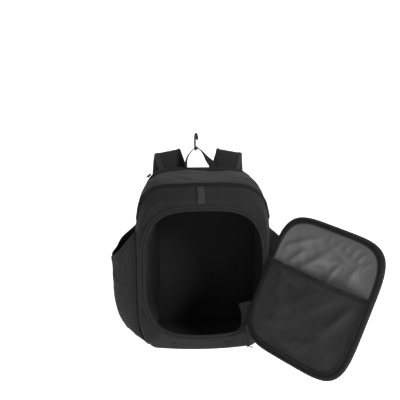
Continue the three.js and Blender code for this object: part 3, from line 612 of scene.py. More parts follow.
def body_surface():
    """The outer shell as a grid: rows go from the opening's edge over the front to its rim, then back
    along the sides; columns go round from the bottom middle. The corner at the rim is rounded by
    averaging each row with its neighbours; the base sags a little towards the front, and the cloth
    waves and creases off that."""
    opening = round_outline(OPENING_WIDTH / 2, OPENING_HEIGHT / 2, OPENING_ROUNDNESS, COLUMNS)
    opening = np.stack([opening[:, 0], np.full(COLUMNS, FRONT), opening[:, 1] + OPENING_MIDDLE], 1)
    rim = body_outline(shares_at(BODY_SECTIONS, 0.0), FRONT, COLUMNS)
    out = np.linspace(0, 1, FACE_ROWS)[:, None, None]
    face = opening * (1 - out) + rim * out
    depths = np.linspace(0, SHELL_END, SIDE_ROWS + 1)[1:]
    sides = np.stack([body_outline(shares_at(BODY_SECTIONS, d), FRONT + BODY_DEPTH * d, COLUMNS)
                      for d in depths])
    grid = bow(np.concatenate([face, sides]))
    for _ in range(5):
        grid[1:-1] = grid[:-2] * 0.25 + grid[1:-1] * 0.5 + grid[2:] * 0.25
    grid[..., 2] = np.maximum(grid[..., 2], 0)
    base_sag = 4 * np.clip(1 - (grid[..., 0] / 150) ** 2, 0, 1) * np.clip((60 - grid[..., 1]) / 140, 0, 1)
    grid[..., 2] -= base_sag * np.clip(1 - grid[..., 2] / 30, 0, 1)
    out_way = grid_normals(grid, True)
    free = np.minimum(np.arange(len(grid)) / 8, (len(grid) - 1 - np.arange(len(grid))) / 6)
    free = np.clip(free, 0, 1)[:, None] * np.clip(grid[..., 2] / 30, 0.1, 1)
    sag = ripples(grid, 150, 3) * 1.3 + ripples(grid, 60, 4) * 0.5
    creases = folds(grid, 130, 5, (1, 1, 1.8)) * 1.1 + folds(grid, 70, 6) * 0.5
    return grid + out_way * (free * (sag + creases - 0.6))[..., None]


BODY = body_surface()
BODY_OUT = grid_normals(BODY, True)


def body_point(row, column, lift=0.0):
    """Points on the shell at fractional rows and columns, lifted along the surface's normal."""
    row, column = np.broadcast_arrays(np.asarray(row, float), np.asarray(column, float))
    r = np.clip(np.floor(row).astype(int), 0, len(BODY) - 2)
    c = np.floor(column).astype(int)
    fr, fc = (row - r)[..., None], (column - c)[..., None]
    c, c1 = c % COLUMNS, (c + 1) % COLUMNS

    def mix(grid):
        near = grid[r, c] * (1 - fc) + grid[r, c1] * fc
        far = grid[r + 1, c] * (1 - fc) + grid[r + 1, c1] * fc
        return near * (1 - fr) + far * fr

    out = unit(mix(BODY_OUT))
    lift = np.asarray(lift, float)
    return mix(BODY) + out * (lift[..., None] if lift.ndim else lift), out


def row_at(share):
    """The shell row at a share of the depth."""
    return FACE_ROWS - 1 + share / SHELL_END * SIDE_ROWS


def make_shell():
    """The body's cloth: the outer surface, and an inner one a wall's thickness within, which meet at
    the opening's edge and at the back seam."""
    inner = BODY - BODY_OUT * WALL
    grid = np.concatenate([BODY, inner[::-1]])
    rows = len(BODY)
    faces, r, c = grid_faces(len(grid), COLUMNS, True, True)
    along, across = lengths(grid, 0, True), lengths(grid, 1, True)
    shell = add_mesh("bag_shell", grid.reshape(-1, 3), faces, SHELL_CLOTH,
                     np.stack([along[r], across[c]], -1))
    shell.data.materials.append(INNER_CLOTH)
    shell.data.materials.append(LOWER_CLOTH)
    row = np.minimum(r.min(1), r.max(1))
    centre = grid.reshape(-1, 3)[faces].mean(1)
    inside = row >= rows
    from_middle = np.minimum(c.min(1), COLUMNS - c.max(1))
    front_band = (r.min(1) < FACE_ROWS + 10) & (from_middle < 31)
    lower = ~inside & (front_band | (centre[:, 2] < BASE_HEIGHT))
    slot = np.where(inside, 1, np.where(lower, 2, 0))
    shell.data.polygons.foreach_set("material_index", slot.astype(np.int32))
    shell.data.update()
    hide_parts("front_panel", "crown_panel", "side_panel_left", "side_panel_right", "base_panel")
    return shell


def seam_cord(name, rows, columns, diameter, material, lift=0.2, closed=False):
    """A piping cord sunk into the shell along fractional rows and columns."""
    path, out = body_point(rows, columns, lift)
    cord = rod(name, path, diameter, material, out, sides=8, closed=closed)
    return cord


def make_body_trim():
    """The piping at the back seam, the rolled binding of that seam inside, and the base seams."""
    round_all = np.arange(0, COLUMNS, 1.0)
    seam_cord("back_piping", np.full(COLUMNS, len(BODY) - 1.6), round_all, 4.2, BACK_PIPING, 1.2, True)
    seam_cord("back_seam_binding", np.full(COLUMNS, len(BODY) - 1.3), round_all, 12.0, INNER_CLOTH, -4.5,
              True)
    base_row = np.linspace(FACE_ROWS + 2, len(BODY) - 3, 60)
    for side, name in ((1, "right"), (-1, "left")):
        heights = BODY[:, :, 2]
        half = np.arange(COLUMNS // 2) if side > 0 else COLUMNS - 1 - np.arange(COLUMNS // 2)
        rows = np.round(base_row).astype(int)
        found = np.stack([np.interp(BASE_HEIGHT, heights[r, half], half if side > 0 else half)
                          for r in rows])
        seam_cord(f"base_seam_{name}", base_row, found, 2.2, PIPING, 0.0)


def ring_near(grid_row, low):
    """Columns of a shell row that lie above a height, from right to left."""
    z = BODY[int(round(grid_row)), :, 2]
    return np.nonzero(z > low)[0].astype(float)


def make_arch_zip(name, share, teeth_name):
    """A zip over the crown: a tape ribbon on the shell, two cloth lips and a row of small teeth."""
    row = row_at(share)
    columns = ring_near(row, 330)
    columns = np.linspace(columns[0], columns[-1], 150)
    path, out = body_point(row, columns, 0.9)
    before, _ = body_point(row - 1, columns)
    after, _ = body_point(row + 1, columns)
    across = unit(after - before)
    tape = ribbon(name, path, across, 11, 1.2, ZIP_TAPE)
    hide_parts(name)
    for shift, thick, word in ((-4.4, 3.4, "front"), (3.0, 5.0, "rear")):
        lip = rod(f"{name}_lip_{word}", path + across * shift + out * 0.4, thick, ZIP_TAPE, out, sides=10)
    line = spaced(np.hstack([path, out, across]), 330)
    centres, out, across = line[:, :3], unit(line[:, 3:6]), unit(line[:, 6:])
    along = unit(np.gradient(centres, axis=0))
    side = np.where(np.arange(len(centres)) % 2, 1, -1)[:, None]
    teeth = small_blocks(teeth_name, centres + across * side * 0.9 + out * 0.9, along, out,
                         (1.3, 3.2, 1.3), TEETH)


# The opening and its zip

def opening_ring(grow, count, lift=0.0):
    """The opening's outline grown by a width, bent with the front and lifted off it."""
    ring = round_outline(OPENING_WIDTH / 2 + grow, OPENING_HEIGHT / 2 + grow, OPENING_ROUNDNESS, count)
    points = np.stack([ring[:, 0], np.full(count, FRONT), ring[:, 1] + OPENING_MIDDLE], 1)
    points = bow(points)
    points[:, 1] -= lift
    return points


def make_opening_zip():
    """The opening's zip: a tape round the opening, piping outside it, a binding on the edge, one row
    of teeth and two rows of stitches."""
    count = 360
    middle = opening_ring(3.4, count, 1.2)
    across = unit(opening_ring(6, count, 1.2) - opening_ring(1, count, 1.2))
    _, out = frames(middle, (0, -1, 0), True)
    out = unit(np.cross(unit(np.roll(middle, -1, 0) - np.roll(middle, 1, 0)), across))
    out *= np.sign(-out[:, 1:2])
    section = ring_section(6.6, 1.5, 12, 3.0)
    tape = hoop("opening_zip_tape", tube_grid(middle, across, out, section), ZIP_TAPE)
    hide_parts("opening_zip")
    piping_path = opening_ring(8.2, count, 1.4)
    piping = rod("opening_piping", piping_path, 4.4, PIPING, (0, -1, 0), 12, True)
    inner = rod("opening_edge_binding", opening_ring(-0.4, count, 0.6), 3.0, PIPING, (0, -1, 0), 10, True)
    centres = opening_ring(2.0, 560, 2.3)
    along = unit(np.roll(centres, -1, 0) - np.roll(centres, 1, 0))
    teeth = small_blocks("opening_zip_teeth", centres, along, np.tile((0.0, -1.0, 0.0), (560, 1)),
                         (1.25, 2.8, 1.4), TEETH)
    for grow, word in ((5.4, "tape"), (12.5, "outer")):
        path = opening_ring(grow, count, 1.9 if word == "tape" else 0.3)
        row = stitch_row(f"opening_stitches_{word}", path, (0, -1, 0), THREAD, closed=True)


def make_inner_wall():
    """The slanting wall of the left bat sleeve: straight from the opening's edge to the back, with
    soft upright waves."""
    low, high = OPENING_BOTTOM + 12, OPENING_BOTTOM + OPENING_HEIGHT - 12
    u = np.linspace(0, 1, 30)[None, :, None]
    z = np.linspace(low, high, 40)
    reach = reach_at(OPENING_WIDTH / 2 - 1, OPENING_HEIGHT / 2 - 1, OPENING_ROUNDNESS, z - OPENING_MIDDLE)
    reach = np.maximum(reach, 121.0)
    front = bow(np.stack([-reach, np.full_like(z, FRONT + WALL + 0.6), z], 1))
    rear = np.stack([np.full_like(z, -109.0), np.full_like(z, FRONT + BODY_DEPTH * SHELL_END - 0.3), z], 1)
    grid = front[:, None] * (1 - u) + rear[:, None] * u
    away = grid_normals(grid)
    away *= np.sign(away[..., :1])
    grid = grid + away * (ripples(grid, 70, 8, (1, 1, 2.5)) * 1.2 * np.sin(np.pi * u[..., 0]))[..., None]
    # Its cloth carries painted shade that darkens it towards the back.
    wall = slab("inner_wall", grid + away * 1.2, grid - away * 1.2, SLEEVE_CLOTH)
    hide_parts("inner_wall_left")


# The door, in its own frame: x from the hinge side, y away from its lining, z up its edge

door_across = unit(np.array([0.612, -0.781, -0.121]))
door_out = unit(np.cross(np.array([0.377, 0.153, 0.914]), door_across))
door_up = np.cross(door_across, door_out)
DOOR_CORNER = np.array([87.0, FRONT - 14.5, 47.0])


def from_door(points):
    """Door frame to bag frame: its corner plus each coordinate along the door's own axes."""
    points = np.asarray(points, float)
    return DOOR_CORNER + points[..., :1] * door_across + points[..., 1:2] * door_out \
        + points[..., 2:] * door_up


def door_ring(grow, count, y=0.0):
    """The door's outline grown by a width, at a distance from its lining's face."""
    ring = round_outline(DOOR_WIDTH / 2 + grow, DOOR_HEIGHT / 2 + grow, DOOR_ROUNDNESS, count)
    y = np.broadcast_to(y, count)
    return np.stack([ring[:, 0] + DOOR_WIDTH / 2, y, ring[:, 1] + DOOR_HEIGHT / 2], 1)


def disc(ring, shares, centre, rise):
    """Rings from a middle point out to an outline; rise gives each share's offset along y."""
    grid = centre + (ring[None] - centre) * shares[:, None, None]
    grid[..., 1] = ring[None, :, 1] + rise[:, None]
    return grid


def pad_of(rings, name, material):
    """A closed pad from rings whose first and last have shrunk to points."""
    return hoop(name, rings, material, wrap_rows=False, weld=True)


def puff(piece, pressure, cap, voxel, frames_run=20):
    """Swells a padded piece with a short cloth simulation: remesh it, blow it up against its own
    cloth with gravity off, and smooth it once. Points move only outwards, and no further than the cap,
    so that the edges stay where they are sewn."""
    scene = bpy.context.scene
    start = piece.data
    remesh = piece.modifiers.new("even", "REMESH")
    remesh.mode = "VOXEL"
    remesh.voxel_size = voxel
    depsgraph = bpy.context.evaluated_depsgraph_get()
    even = bpy.data.meshes.new_from_object(piece.evaluated_get(depsgraph))
    piece.modifiers.clear()
    piece.data = even
    rest = np.empty(len(even.vertices) * 3, np.float32)
    even.vertices.foreach_get("co", rest)
    cloth = piece.modifiers.new("cloth", "CLOTH")
    cloth.settings.quality = 5
    cloth.settings.mass = 0.3
    cloth.settings.tension_stiffness = 15
    cloth.settings.compression_stiffness = 15
    cloth.settings.bending_stiffness = 0.6
    cloth.settings.use_pressure = True
    cloth.settings.uniform_pressure_force = pressure
    cloth.settings.effector_weights.gravity = 0
    cloth.point_cache.frame_start = 1
    cloth.point_cache.frame_end = frames_run
    for number in range(1, frames_run + 1):
        scene.frame_set(number)
    depsgraph = bpy.context.evaluated_depsgraph_get()
    swollen = piece.evaluated_get(depsgraph).to_mesh()
    moved = np.empty_like(rest)
    swollen.vertices.foreach_get("co", moved)
    piece.evaluated_get(depsgraph).to_mesh_clear()
    piece.modifiers.clear()
    scene.frame_set(1)
    shift = (moved - rest).reshape(-1, 3)
    out = np.empty_like(rest)
    even.vertices.foreach_get("normal", out)
    out = out.reshape(-1, 3)
    shift = out * np.clip((shift * out).sum(1), 0, cap)[:, None]
    even.vertices.foreach_set("co", (rest.reshape(-1, 3) + shift).astype(np.float32).ravel())
    even.polygons.foreach_set("use_smooth", np.full(len(even.polygons), True))
    even.materials.clear()
    for material in start.materials:
        even.materials.append(material)
    even.update()
    finer = piece.modifiers.new("finer", "SUBSURF")
    finer.levels = finer.render_levels = 1


def make_door():
    """The door: a domed pad, its ribbed rim, two pipings, the zip's teeth and two rows of stitches."""
    centre = np.array([DOOR_WIDTH / 2, 0, DOOR_HEIGHT / 2])
    count = 260
    shares = np.concatenate([np.linspace(0, 0.9, 22), np.linspace(0.92, 1, 6)])
    dome = DOOR_DOME * (1 - shares ** 2)
    outer = disc(door_ring(-1.5, count, DOOR_THICKNESS), shares, centre, dome)
    inner = disc(door_ring(-0.5, count, 0.3), shares, centre, dome)
    edge = door_ring(0.0, count, DOOR_THICKNESS / 2)[None]
    outer[..., 1] += ripples(outer, 90, 11) * 0.8 * (1 - shares[:, None] ** 6)
    panel = pad_of(from_door(np.concatenate([inner, edge, outer[::-1]])), "door_pad", DOOR_CLOTH)
    puff(panel, 1.5, 0.0025, 0.004)
    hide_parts("door_panel")

    # The ribbed rim: its section as distances in from the edge and off the panel
    section = np.array([[-0.6, 2.2], [-1.0, 0.2], [0.2, -3.6], [2.7, -5.6], [5.5, -6.4], [8.3, -5.8],
                        [9.8, -4.6], [10.9, -5.6], [12.2, -4.6], [12.7, -2.4], [12.2, 0.2], [6.2, 0.3],
                        [0.8, 1.6]])
    count = 340
    rim = np.stack([door_ring(-inward, count, y) for inward, y in section], 1)
    wave = ripples(rim, 45, 12) * 0.35
    rim[..., 1] += wave * (section[:, 1] < -1)
    rim_piece = hoop("door_rim_gusset", from_door(rim), ZIP_TAPE)
    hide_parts("door_rim")
    inner_line = from_door(door_ring(-11.1, count, -5.4))
    piping = rod("door_rim_piping", inner_line, 3.2, PIPING, -door_out, 10, True)
    outer_line = from_door(door_ring(0.2, count, 2.6))
    outer_piping = rod("door_edge_piping", outer_line, 4.0, PIPING, -door_out, 10, True)
    centres = from_door(door_ring(0.4, 590, -1.4))
    along = unit(np.roll(centres, -1, 0) - np.roll(centres, 1, 0))
    outward = unit(centres - from_door(door_ring(-5, 590, -1.4)))
    teeth = small_blocks("door_zip_teeth", centres, along, outward, (1.2, 1.6, 2.4), TEETH)
    for inward, y, word in ((3.3, -6.0, "zip"), (9.1, -5.3, "gusset")):
        row = stitch_row(f"door_stitches_{word}", from_door(door_ring(-inward, count, y)), -door_out,
                         THREAD, closed=True)


def crease(points, start, end, width, depth):
    """A long soft fold between two points of the door: a ridge whose height falls off as a bell with the
    distance from the line, and fades towards both ends."""
    start, end = np.asarray(start, float), np.asarray(end, float)
    way = end - start
    flat = points[..., [0, 2]] - start
    share = np.clip((flat * way).sum(-1) / (way @ way), 0, 1)
    far = np.linalg.norm(flat - share[..., None] * way, axis=-1)
    return depth * np.exp(-(far / width) ** 2) * np.sin(np.pi * np.clip(0.1 + 0.8 * share, 0, 1))


# Long folds of the door's cloths: start and end on the door, width and height of the ridge
LINING_CREASES = [
    {"start": (28, 250), "end": (118, 298), "width": 9, "depth": 5.5},
    {"start": (52, 212), "end": (96, 262), "width": 10, "depth": 4.5},
    {"start": (92, 205), "end": (150, 268), "width": 13, "depth": 6.5},
    {"start": (118, 236), "end": (186, 262), "width": 10, "depth": 5.5},
    {"start": (150, 300), "end": (222, 268), "width": 9, "depth": 4.5},
    {"start": (176, 214), "end": (196, 258), "width": 8, "depth": 5.5},
    {"start": (190, 262), "end": (262, 236), "width": 12, "depth": 4.5},
    {"start": (226, 210), "end": (250, 290), "width": 10, "depth": 4.0},
    {"start": (150, 322), "end": (146, 300), "width": 5, "depth": 3.5},
    {"start": (178, 320), "end": (172, 296), "width": 5, "depth": 4.5},
    {"start": (204, 318), "end": (194, 292), "width": 5, "depth": 4.5},
    {"start": (228, 314), "end": (216, 288), "width": 5, "depth": 4.5},
    {"start": (250, 306), "end": (236, 282), "width": 5, "depth": 4.0},
    {"start": (272, 294), "end": (256, 270), "width": 5, "depth": 3.5},
]
POCKET_CREASES = [
    {"start": (40, 188), "end": (150, 176), "width": 12, "depth": 3.6},
    {"start": (66, 170), "end": (190, 188), "width": 12, "depth": -2.8},
    {"start": (150, 118), "end": (232, 186), "width": 14, "depth": 4.4},
    {"start": (60, 96), "end": (150, 150), "width": 16, "depth": 3.4},
    {"start": (36, 60), "end": (120, 84), "width": 14, "depth": 3.2},
    {"start": (200, 70), "end": (262, 150), "width": 15, "depth": 4.0},
    {"start": (120, 40), "end": (230, 66), "width": 14, "depth": 3.0},
    {"start": (236, 120), "end": (276, 182), "width": 10, "depth": 3.6},
]


def make_door_lining():
    """The lining: a shallow dome between the rim's edges, with long folds that hang from its top."""
    centre = np.array([DOOR_WIDTH / 2, 0, DOOR_HEIGHT / 2])
    shares = np.linspace(0, 1, 64)
    ring = door_ring(-DOOR_RIM + 0.6, 300, -1.0)
    grid = disc(ring, shares, centre, DOOR_DOME * 0.55 * (1 - shares ** 2))
    loose = (1 - shares ** 8)[:, None]
    height = sum(crease(grid, **line) for line in LINING_CREASES)
    height += ripples(grid, 70, 21) * 1.0 + ripples(grid, 30, 22) * 0.3
    deepest = -0.5 - 2.5 * (1 - shares[:, None] ** 2)
    grid[..., 1] -= np.maximum(height * 1.5 - 1.5, deepest) * loose
    back = grid + np.array([0, 1.0, 0])
    sheet = pad_of(from_door(np.concatenate([grid, back[::-1]])), "door_lining_sheet", LINING)
    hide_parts("door_lining")


def pocket_grid(u, v, lift=0.0):
    """The door pocket's sheet: across the lining from side to side, rising towards its mouth, with
    long folds and soft waves that die out at the seams."""
    half_width = DOOR_WIDTH / 2 - DOOR_RIM + 0.5
    half_height = DOOR_HEIGHT / 2 - DOOR_RIM + 0.5
    low = -half_height * 0.985
    high = DOOR_RIM + POCKET_HEIGHT - DOOR_HEIGHT / 2
    z = low + (high - low) * v
    s = 2 * u - 1
    x = DOOR_WIDTH / 2 + reach_at(half_width, half_height, DOOR_ROUNDNESS, z) * s
    z = z + DOOR_HEIGHT / 2 - 2.5 * (1 - s * s) * v ** 3
    rise = POCKET_RISE * 0.55 * (1 - s * s) * v ** 1.5 * (2 - v)
    grid = np.stack([x, -1.6 - rise, z], -1)
    loose = (1 - s ** 6) * np.clip(v / 0.12, 0, 1)
    height = sum(crease(grid, **line) for line in POCKET_CREASES)
    height += ripples(grid, 75, 31) * 1.1 + ripples(grid, 28, 32) * 0.3
    grid[..., 1] -= loose * np.maximum(height * 1.5, -1.2) + lift
    return grid


def make_door_pocket():
    """The pocket on the door's lining, its bound mouth and the stitches along it."""
    u, v = np.meshgrid(np.linspace(0, 1, 110), np.linspace(0, 1, 90))
    pocket = slab("door_pocket_cloth", from_door(pocket_grid(u, v, 1.2)), from_door(pocket_grid(u, v)),
                  DOOR_POCKET_CLOTH)
    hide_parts("door_pocket")
    u, v = np.meshgrid(np.linspace(0.0, 1, 110), np.linspace(0.955, 1.004, 8))
    hem = slab("door_pocket_binding", from_door(pocket_grid(u, v, 2.6)), from_door(pocket_grid(u, v, -0.6)),
               PIPING)
    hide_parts("door_pocket_hem")
    line = from_door(pocket_grid(np.linspace(0.01, 0.99, 200), np.full(200, 0.966), 2.7))
    row = stitch_row("door_pocket_stitches", line, -door_out, THREAD)


def make_hinge():
    """The slack cloth at the door's hinge: straight lines from the opening's edge to the door's edge,
    pushed left by a half sine that grows upwards, with small gathers along it."""
    v, u = np.meshgrid(np.linspace(0, 1, 40), np.linspace(0, 1, 36), indexing="ij")
    z = 52 + 60 * v
    inset = 2.2
    reach = reach_at(OPENING_WIDTH / 2 - inset, OPENING_HEIGHT / 2 - inset, OPENING_ROUNDNESS,
                     z - OPENING_MIDDLE)
    body_edge = bow(np.stack([reach, np.full_like(z, FRONT + WALL / 2), z], -1))
    up = 32 + 60 * v
    x = DOOR_WIDTH / 2 - reach_at(DOOR_WIDTH / 2, DOOR_HEIGHT / 2, DOOR_ROUNDNESS, up - DOOR_HEIGHT / 2)
    door_edge = from_door(np.stack([x - 0.6, np.full_like(x, -3.2), up], -1))
    swing = np.sin(np.pi * u)
    grid = body_edge * (1 - u[..., None]) + door_edge * u[..., None]
    grid += np.stack([-42 * (0.15 + 0.85 * v) * swing, -4 * swing, np.zeros_like(u)], -1)
    away = grid_normals(grid)
    gathers = np.sin(v * 9 + 2 * np.sin(3 * u)) * 0.7 * swing
    grid = grid + away * gathers[..., None]
    hinge = slab("door_hinge_cloth", grid + away * 0.8, grid - away * 0.8, INNER_CLOTH)
    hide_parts("door_hinge")


# Side pockets

def half_at(y, z):
    """Half the body's width at a depth and height, from its section table."""
    width, top, bottom, crown = np.moveaxis(shares_at(BODY_SECTIONS, (y - FRONT) / BODY_DEPTH), -1, 0)
    top, bottom = top * BODY_HEIGHT, bottom * BODY_HEIGHT
    upper = z >= MIDDLE
    reach = np.where(upper, top - MIDDLE, MIDDLE - bottom + BASE_FLATTENING)
    roundness = np.where(upper, crown, 6.0)
    return width * BODY_WIDTH / 2 * (1 - np.clip(np.abs((z - MIDDLE) / reach), 0, 1) ** roundness) \
        ** (1 / roundness)


def pocket_shell(side, u, v):
    """A side pocket: from seam to seam round its belly, and up from the base to a mouth that dips in
    the middle. The belly stands out by a rounded half sine and draws in at the foot; upright gathers
    run down from the hem."""
    angle = np.pi * u
    y = -14 - 74 * rounded(np.cos(angle), 2.6)
    mouth = 226 + 80 * np.abs(2 * u - 1) ** 2.2 + 16 * np.sin(np.pi * np.maximum(2 * u - 1, 0)) ** 2
    z = 7 + (mouth - 7) * v ** 1.3
    height = (z - 7) / 219
    belly = (0.8 + 0.2 * np.minimum(height, 1)) * (1 - np.maximum(1 - height, 0) ** 7)
    out = 62 * belly * np.abs(rounded(np.sin(angle), 2.6))
    grid = bow(np.stack([side * (half_at(y, z) + 0.8 + out), y, z], -1))
    middle = np.sin(angle) ** 0.7
    gathers = np.sin(u * 38 + 1.5 * np.sin(4 * v)) * (0.9 * v ** 2 + 0.5 * (1 - v) ** 4)
    sag = ripples(grid, 90, 41 + side, (1, 1, 2)) * 1.6 + folds(grid, 70, 44 + side, (1, 1, 1.5)) * 1.4
    return grid, (gathers + sag - 0.8) * middle


def make_side_pocket(name, side):
    """A side pocket's cloth, the binding of its mouth and the stitches on that."""
    u, v = np.meshgrid(np.linspace(0, 1, 120), np.linspace(0, 1, 80))
    grid, height = pocket_shell(side, u, v)
    away = grid_normals(grid)
    away *= np.sign(away[..., :1] * side)
    away = np.where(np.abs(away[..., :1]) < 1e-6, 0, away)
    face = grid + away * height[..., None]
    cloth = slab(f"side_pocket_cloth_{name}", face + away * 2.0, face, POCKET_CLOTH)
    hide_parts(f"side_pocket_{name}")
    u, v = np.meshgrid(np.linspace(0.01, 0.99, 120), np.linspace(0.955, 1.004, 8))
    grid, height = pocket_shell(side, u, v)
    away = grid_normals(grid)
    away *= np.sign(away[..., :1] * side)
    face = grid + away * height[..., None]
    hem = slab(f"side_pocket_binding_{name}", face + away * 3.0, face - away * 0.8, PIPING)
    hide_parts(f"pocket_hem_{name}")
    line = face[2] + away[2] * 3.1
    row = stitch_row(f"side_pocket_stitches_{name}", line, away[2], THREAD)


# The back panel and the straps

def make_back_panel():
    """The padded back: rings of the section table from the middle of its front face, round its edge,
    to the middle of its rear face, where sewn channels part the pads."""
    start = FRONT + BODY_DEPTH * SHELL_END + 0.3
    length = BACK - start
    count = 260
    shares = np.linspace(0, 1, 24)
    middle = np.array([0, 0, MIDDLE])

    def ring(depth, inset):
        return body_outline(shares_at(BACK_SECTIONS, depth), start + length * depth, count, -inset)

    seam = body_outline(shares_at(BODY_SECTIONS, SHELL_END), start, count, -0.8)
    front = middle + (seam[None] - middle) * shares[:, None, None]
    front[..., 1] = start + 0.1
    depths = np.array([0.1, 0.25, 0.45, 0.65, 0.82, 0.93])
    edge = np.stack([ring(d, inset) for d, inset in zip(depths, (-0.3, -0.3, 0.2, 0.8, 2.0, 4.0))])
    rear = middle + (ring(1.0, 6.0)[None] - middle) * shares[::-1, None, None]
    rear[..., 1] = BACK - 1.0
    panel = pad_of(np.concatenate([front, edge, rear]), "back_pad", PAD_MESH)
    puff(panel, 3.0, 0.004, 0.0045)
    press_channels(panel, BACK - 4)
    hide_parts("back_panel")


def press_channels(panel, face):
    """Sewn channels on the pad's rear: grooves along one upright and two level lines, each as deep as a
    bell of the distance from its line, only where the surface faces the wearer."""
    mesh = panel.data
    points = np.empty(len(mesh.vertices) * 3, np.float32)
    mesh.vertices.foreach_get("co", points)
    points = points.reshape(-1, 3)
    place = points * 1000 - BAG_SHIFT
    rear = np.clip((place[:, 1] - face + 4) / 4, 0, 1)
    inside = np.clip((130 - np.abs(place[:, 0])) / 12, 0, 1) * np.clip((400 - place[:, 2]) / 12, 0, 1) \
        * np.clip((place[:, 2] - 35) / 12, 0, 1)
    groove = np.exp(-(place[:, 0] / 9) ** 2)
    for height in (140, 285):
        groove = np.maximum(groove, np.exp(-((place[:, 2] - height - 0.0006 * place[:, 0] ** 2) / 7) ** 2))
    points[:, 1] -= rear * inside * groove * 0.005
    mesh.vertices.foreach_set("co", points.ravel())
    mesh.update()


def strap_frame(side, count):
    """A shoulder strap's middle line, its level and outward axes and its width at each station."""
    rows = smooth_path(np.stack([
        side * STRAP_RUN[:, 2] * STRAP_SPREAD,
        BACK + 0.3 + STRAP_THICKNESS / 2 + STRAP_RUN[:, 1] * STRAP_STANDOFF,
        STRAP_RUN[:, 0] * BODY_HEIGHT,
        STRAP_RUN[:, 3] * STRAP_WIDTH], 1), count)
    path, width = rows[:, :3], rows[:, 3]
    share = np.linspace(0, 1, count)
    tilt = np.radians(12) * np.sin(np.pi * np.minimum(2 * share, 1)) ** 2
    across = np.stack([np.cos(tilt), np.zeros(count), -side * np.sin(tilt)], 1)
    along = unit(np.gradient(path, axis=0))
    across = unit(across - along * (across * along).sum(-1, keepdims=True))
    return path, across, np.cross(across, along), width


def make_strap(name, side):
    """A padded shoulder strap: rounded sections along its run, edges bound with webbing, and a strip of
    webbing down the middle of its outer face."""
    count = 110
    path, across, out, width = strap_frame(side, count)
    section = ring_section(1, 1, 44, 4.0)
    spread = section[None] * np.stack([width - 0.8, np.full(count, STRAP_THICKNESS - 1.2)], 1)[:, None]
    close = np.sin(np.linspace(0, np.pi, count)) ** 0.12
    close[[0, -1]] = 0
    grid = path[:, None] + (across[:, None] * spread[..., :1] + out[:, None] * spread[..., 1:]) \
        * close[:, None, None]
    pad = pad_of(grid, f"strap_pad_{name}", STRAP_CLOTH)
    puff(pad, 2.5, 0.0015, 0.004)
    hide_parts(f"shoulder_strap_{name}")
    for edge, fold, cloth, word in ((side, 11, BINDING, "outer"), (-side, 7, WEBBING, "inner")):
        turn = np.linspace(-1, 1, 15)
        lean = edge * (width / 2)[:, None] - edge * fold * np.abs(turn)[None] ** 3
        lift = (STRAP_THICKNESS / 2 + 0.4) * np.sin(turn * np.pi / 2)[None] * np.ones((count, 1))
        outer = path[:, None] + across[:, None] * lean[..., None] + out[:, None] * lift[..., None]
        inner = outer - across[:, None] * edge * 1.2
        inner = inner - out[:, None] * (0.9 * np.sin(turn * np.pi / 2))[None, :, None]
        keep = slice(2, count - 2)
        binding = slab(f"strap_binding_{word}_{name}", outer[keep], inner[keep], cloth)
    middle = path + out * (STRAP_THICKNESS / 2 + 0.9)
    keep = slice(34, 104)
    strip = ribbon(f"strap_strip_{name}", middle[keep], across[keep], WEBBING_WIDTH, 1.6, WEBBING)
    for shift in (-10, 10):
        line = middle[keep] + across[keep] * shift + out[keep] * 0.9
        row = stitch_row(f"strap_stitches_{'a' if shift < 0 else 'b'}_{name}", line, out[keep], THREAD)
    make_adjuster(name, side, path)


def make_adjuster(name, side, path):
    """The strap's end tab, the ladder lock's threaded webbing and its tail to the base corner."""
    end = path[-1]
    down = unit(path[-1] - path[-4])
    level = np.array([1.0, 0, 0])
    face = unit(np.cross(level, down))
    face *= np.sign(face[1])
    steps = np.linspace(-8, 26, 16)[:, None]
    wave = 2.2 * np.sin(np.clip((steps - 14) / 12, 0, 1) * np.pi)
    tab = ribbon(f"strap_tab_web_{name}", end + down * steps + face * wave, np.tile(level, (16, 1)),
                 WEBBING_WIDTH, 1.8, WEBBING)
    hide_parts(f"strap_tab_{name}")
    lock = end + down * (0.3 + 24 + 0.3)
    lock_end = lock + down * 30.3
    anchor = np.array([side * 122.0, BACK + 1.4, 30.0])
    lead = lock_end + down * 3.6
    hang = (lead + anchor) / 2 + np.array([0, 3, -4])
    foot = anchor * [1, 1, 0] + [0, 0, 15]
    threaded = [lock + down * 18 + face * 3.4, lock + down * 25 + face * 1.0]
    run = smooth_path([*threaded, lead, hang, anchor, foot], 60)
    web = ribbon(f"strap_web_band_{name}", run, np.tile(level, (60, 1)), WEBBING_WIDTH, 1.8, WEBBING)
    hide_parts(f"strap_web_{name}")
    for shift in (-9, 9):
        line = run[-14:] + level * shift + np.array([0, 1.1, 0])
        row = stitch_row(f"web_stitches_{'a' if shift < 0 else 'b'}_{name}", line, (0, 1, 0), THREAD)


# The handle and its hook

HANDLE_FOOT = 1.008 * BODY_HEIGHT + 0.45
HANDLE_RISE = 50.0
HANDLE_LEAN = -9.0
HANDLE_LEFT = 3 - 67 / 2
HANDLE_RIGHT = 3 + 67 / 2
HANDLE_DEPTH = BACK - 8.5


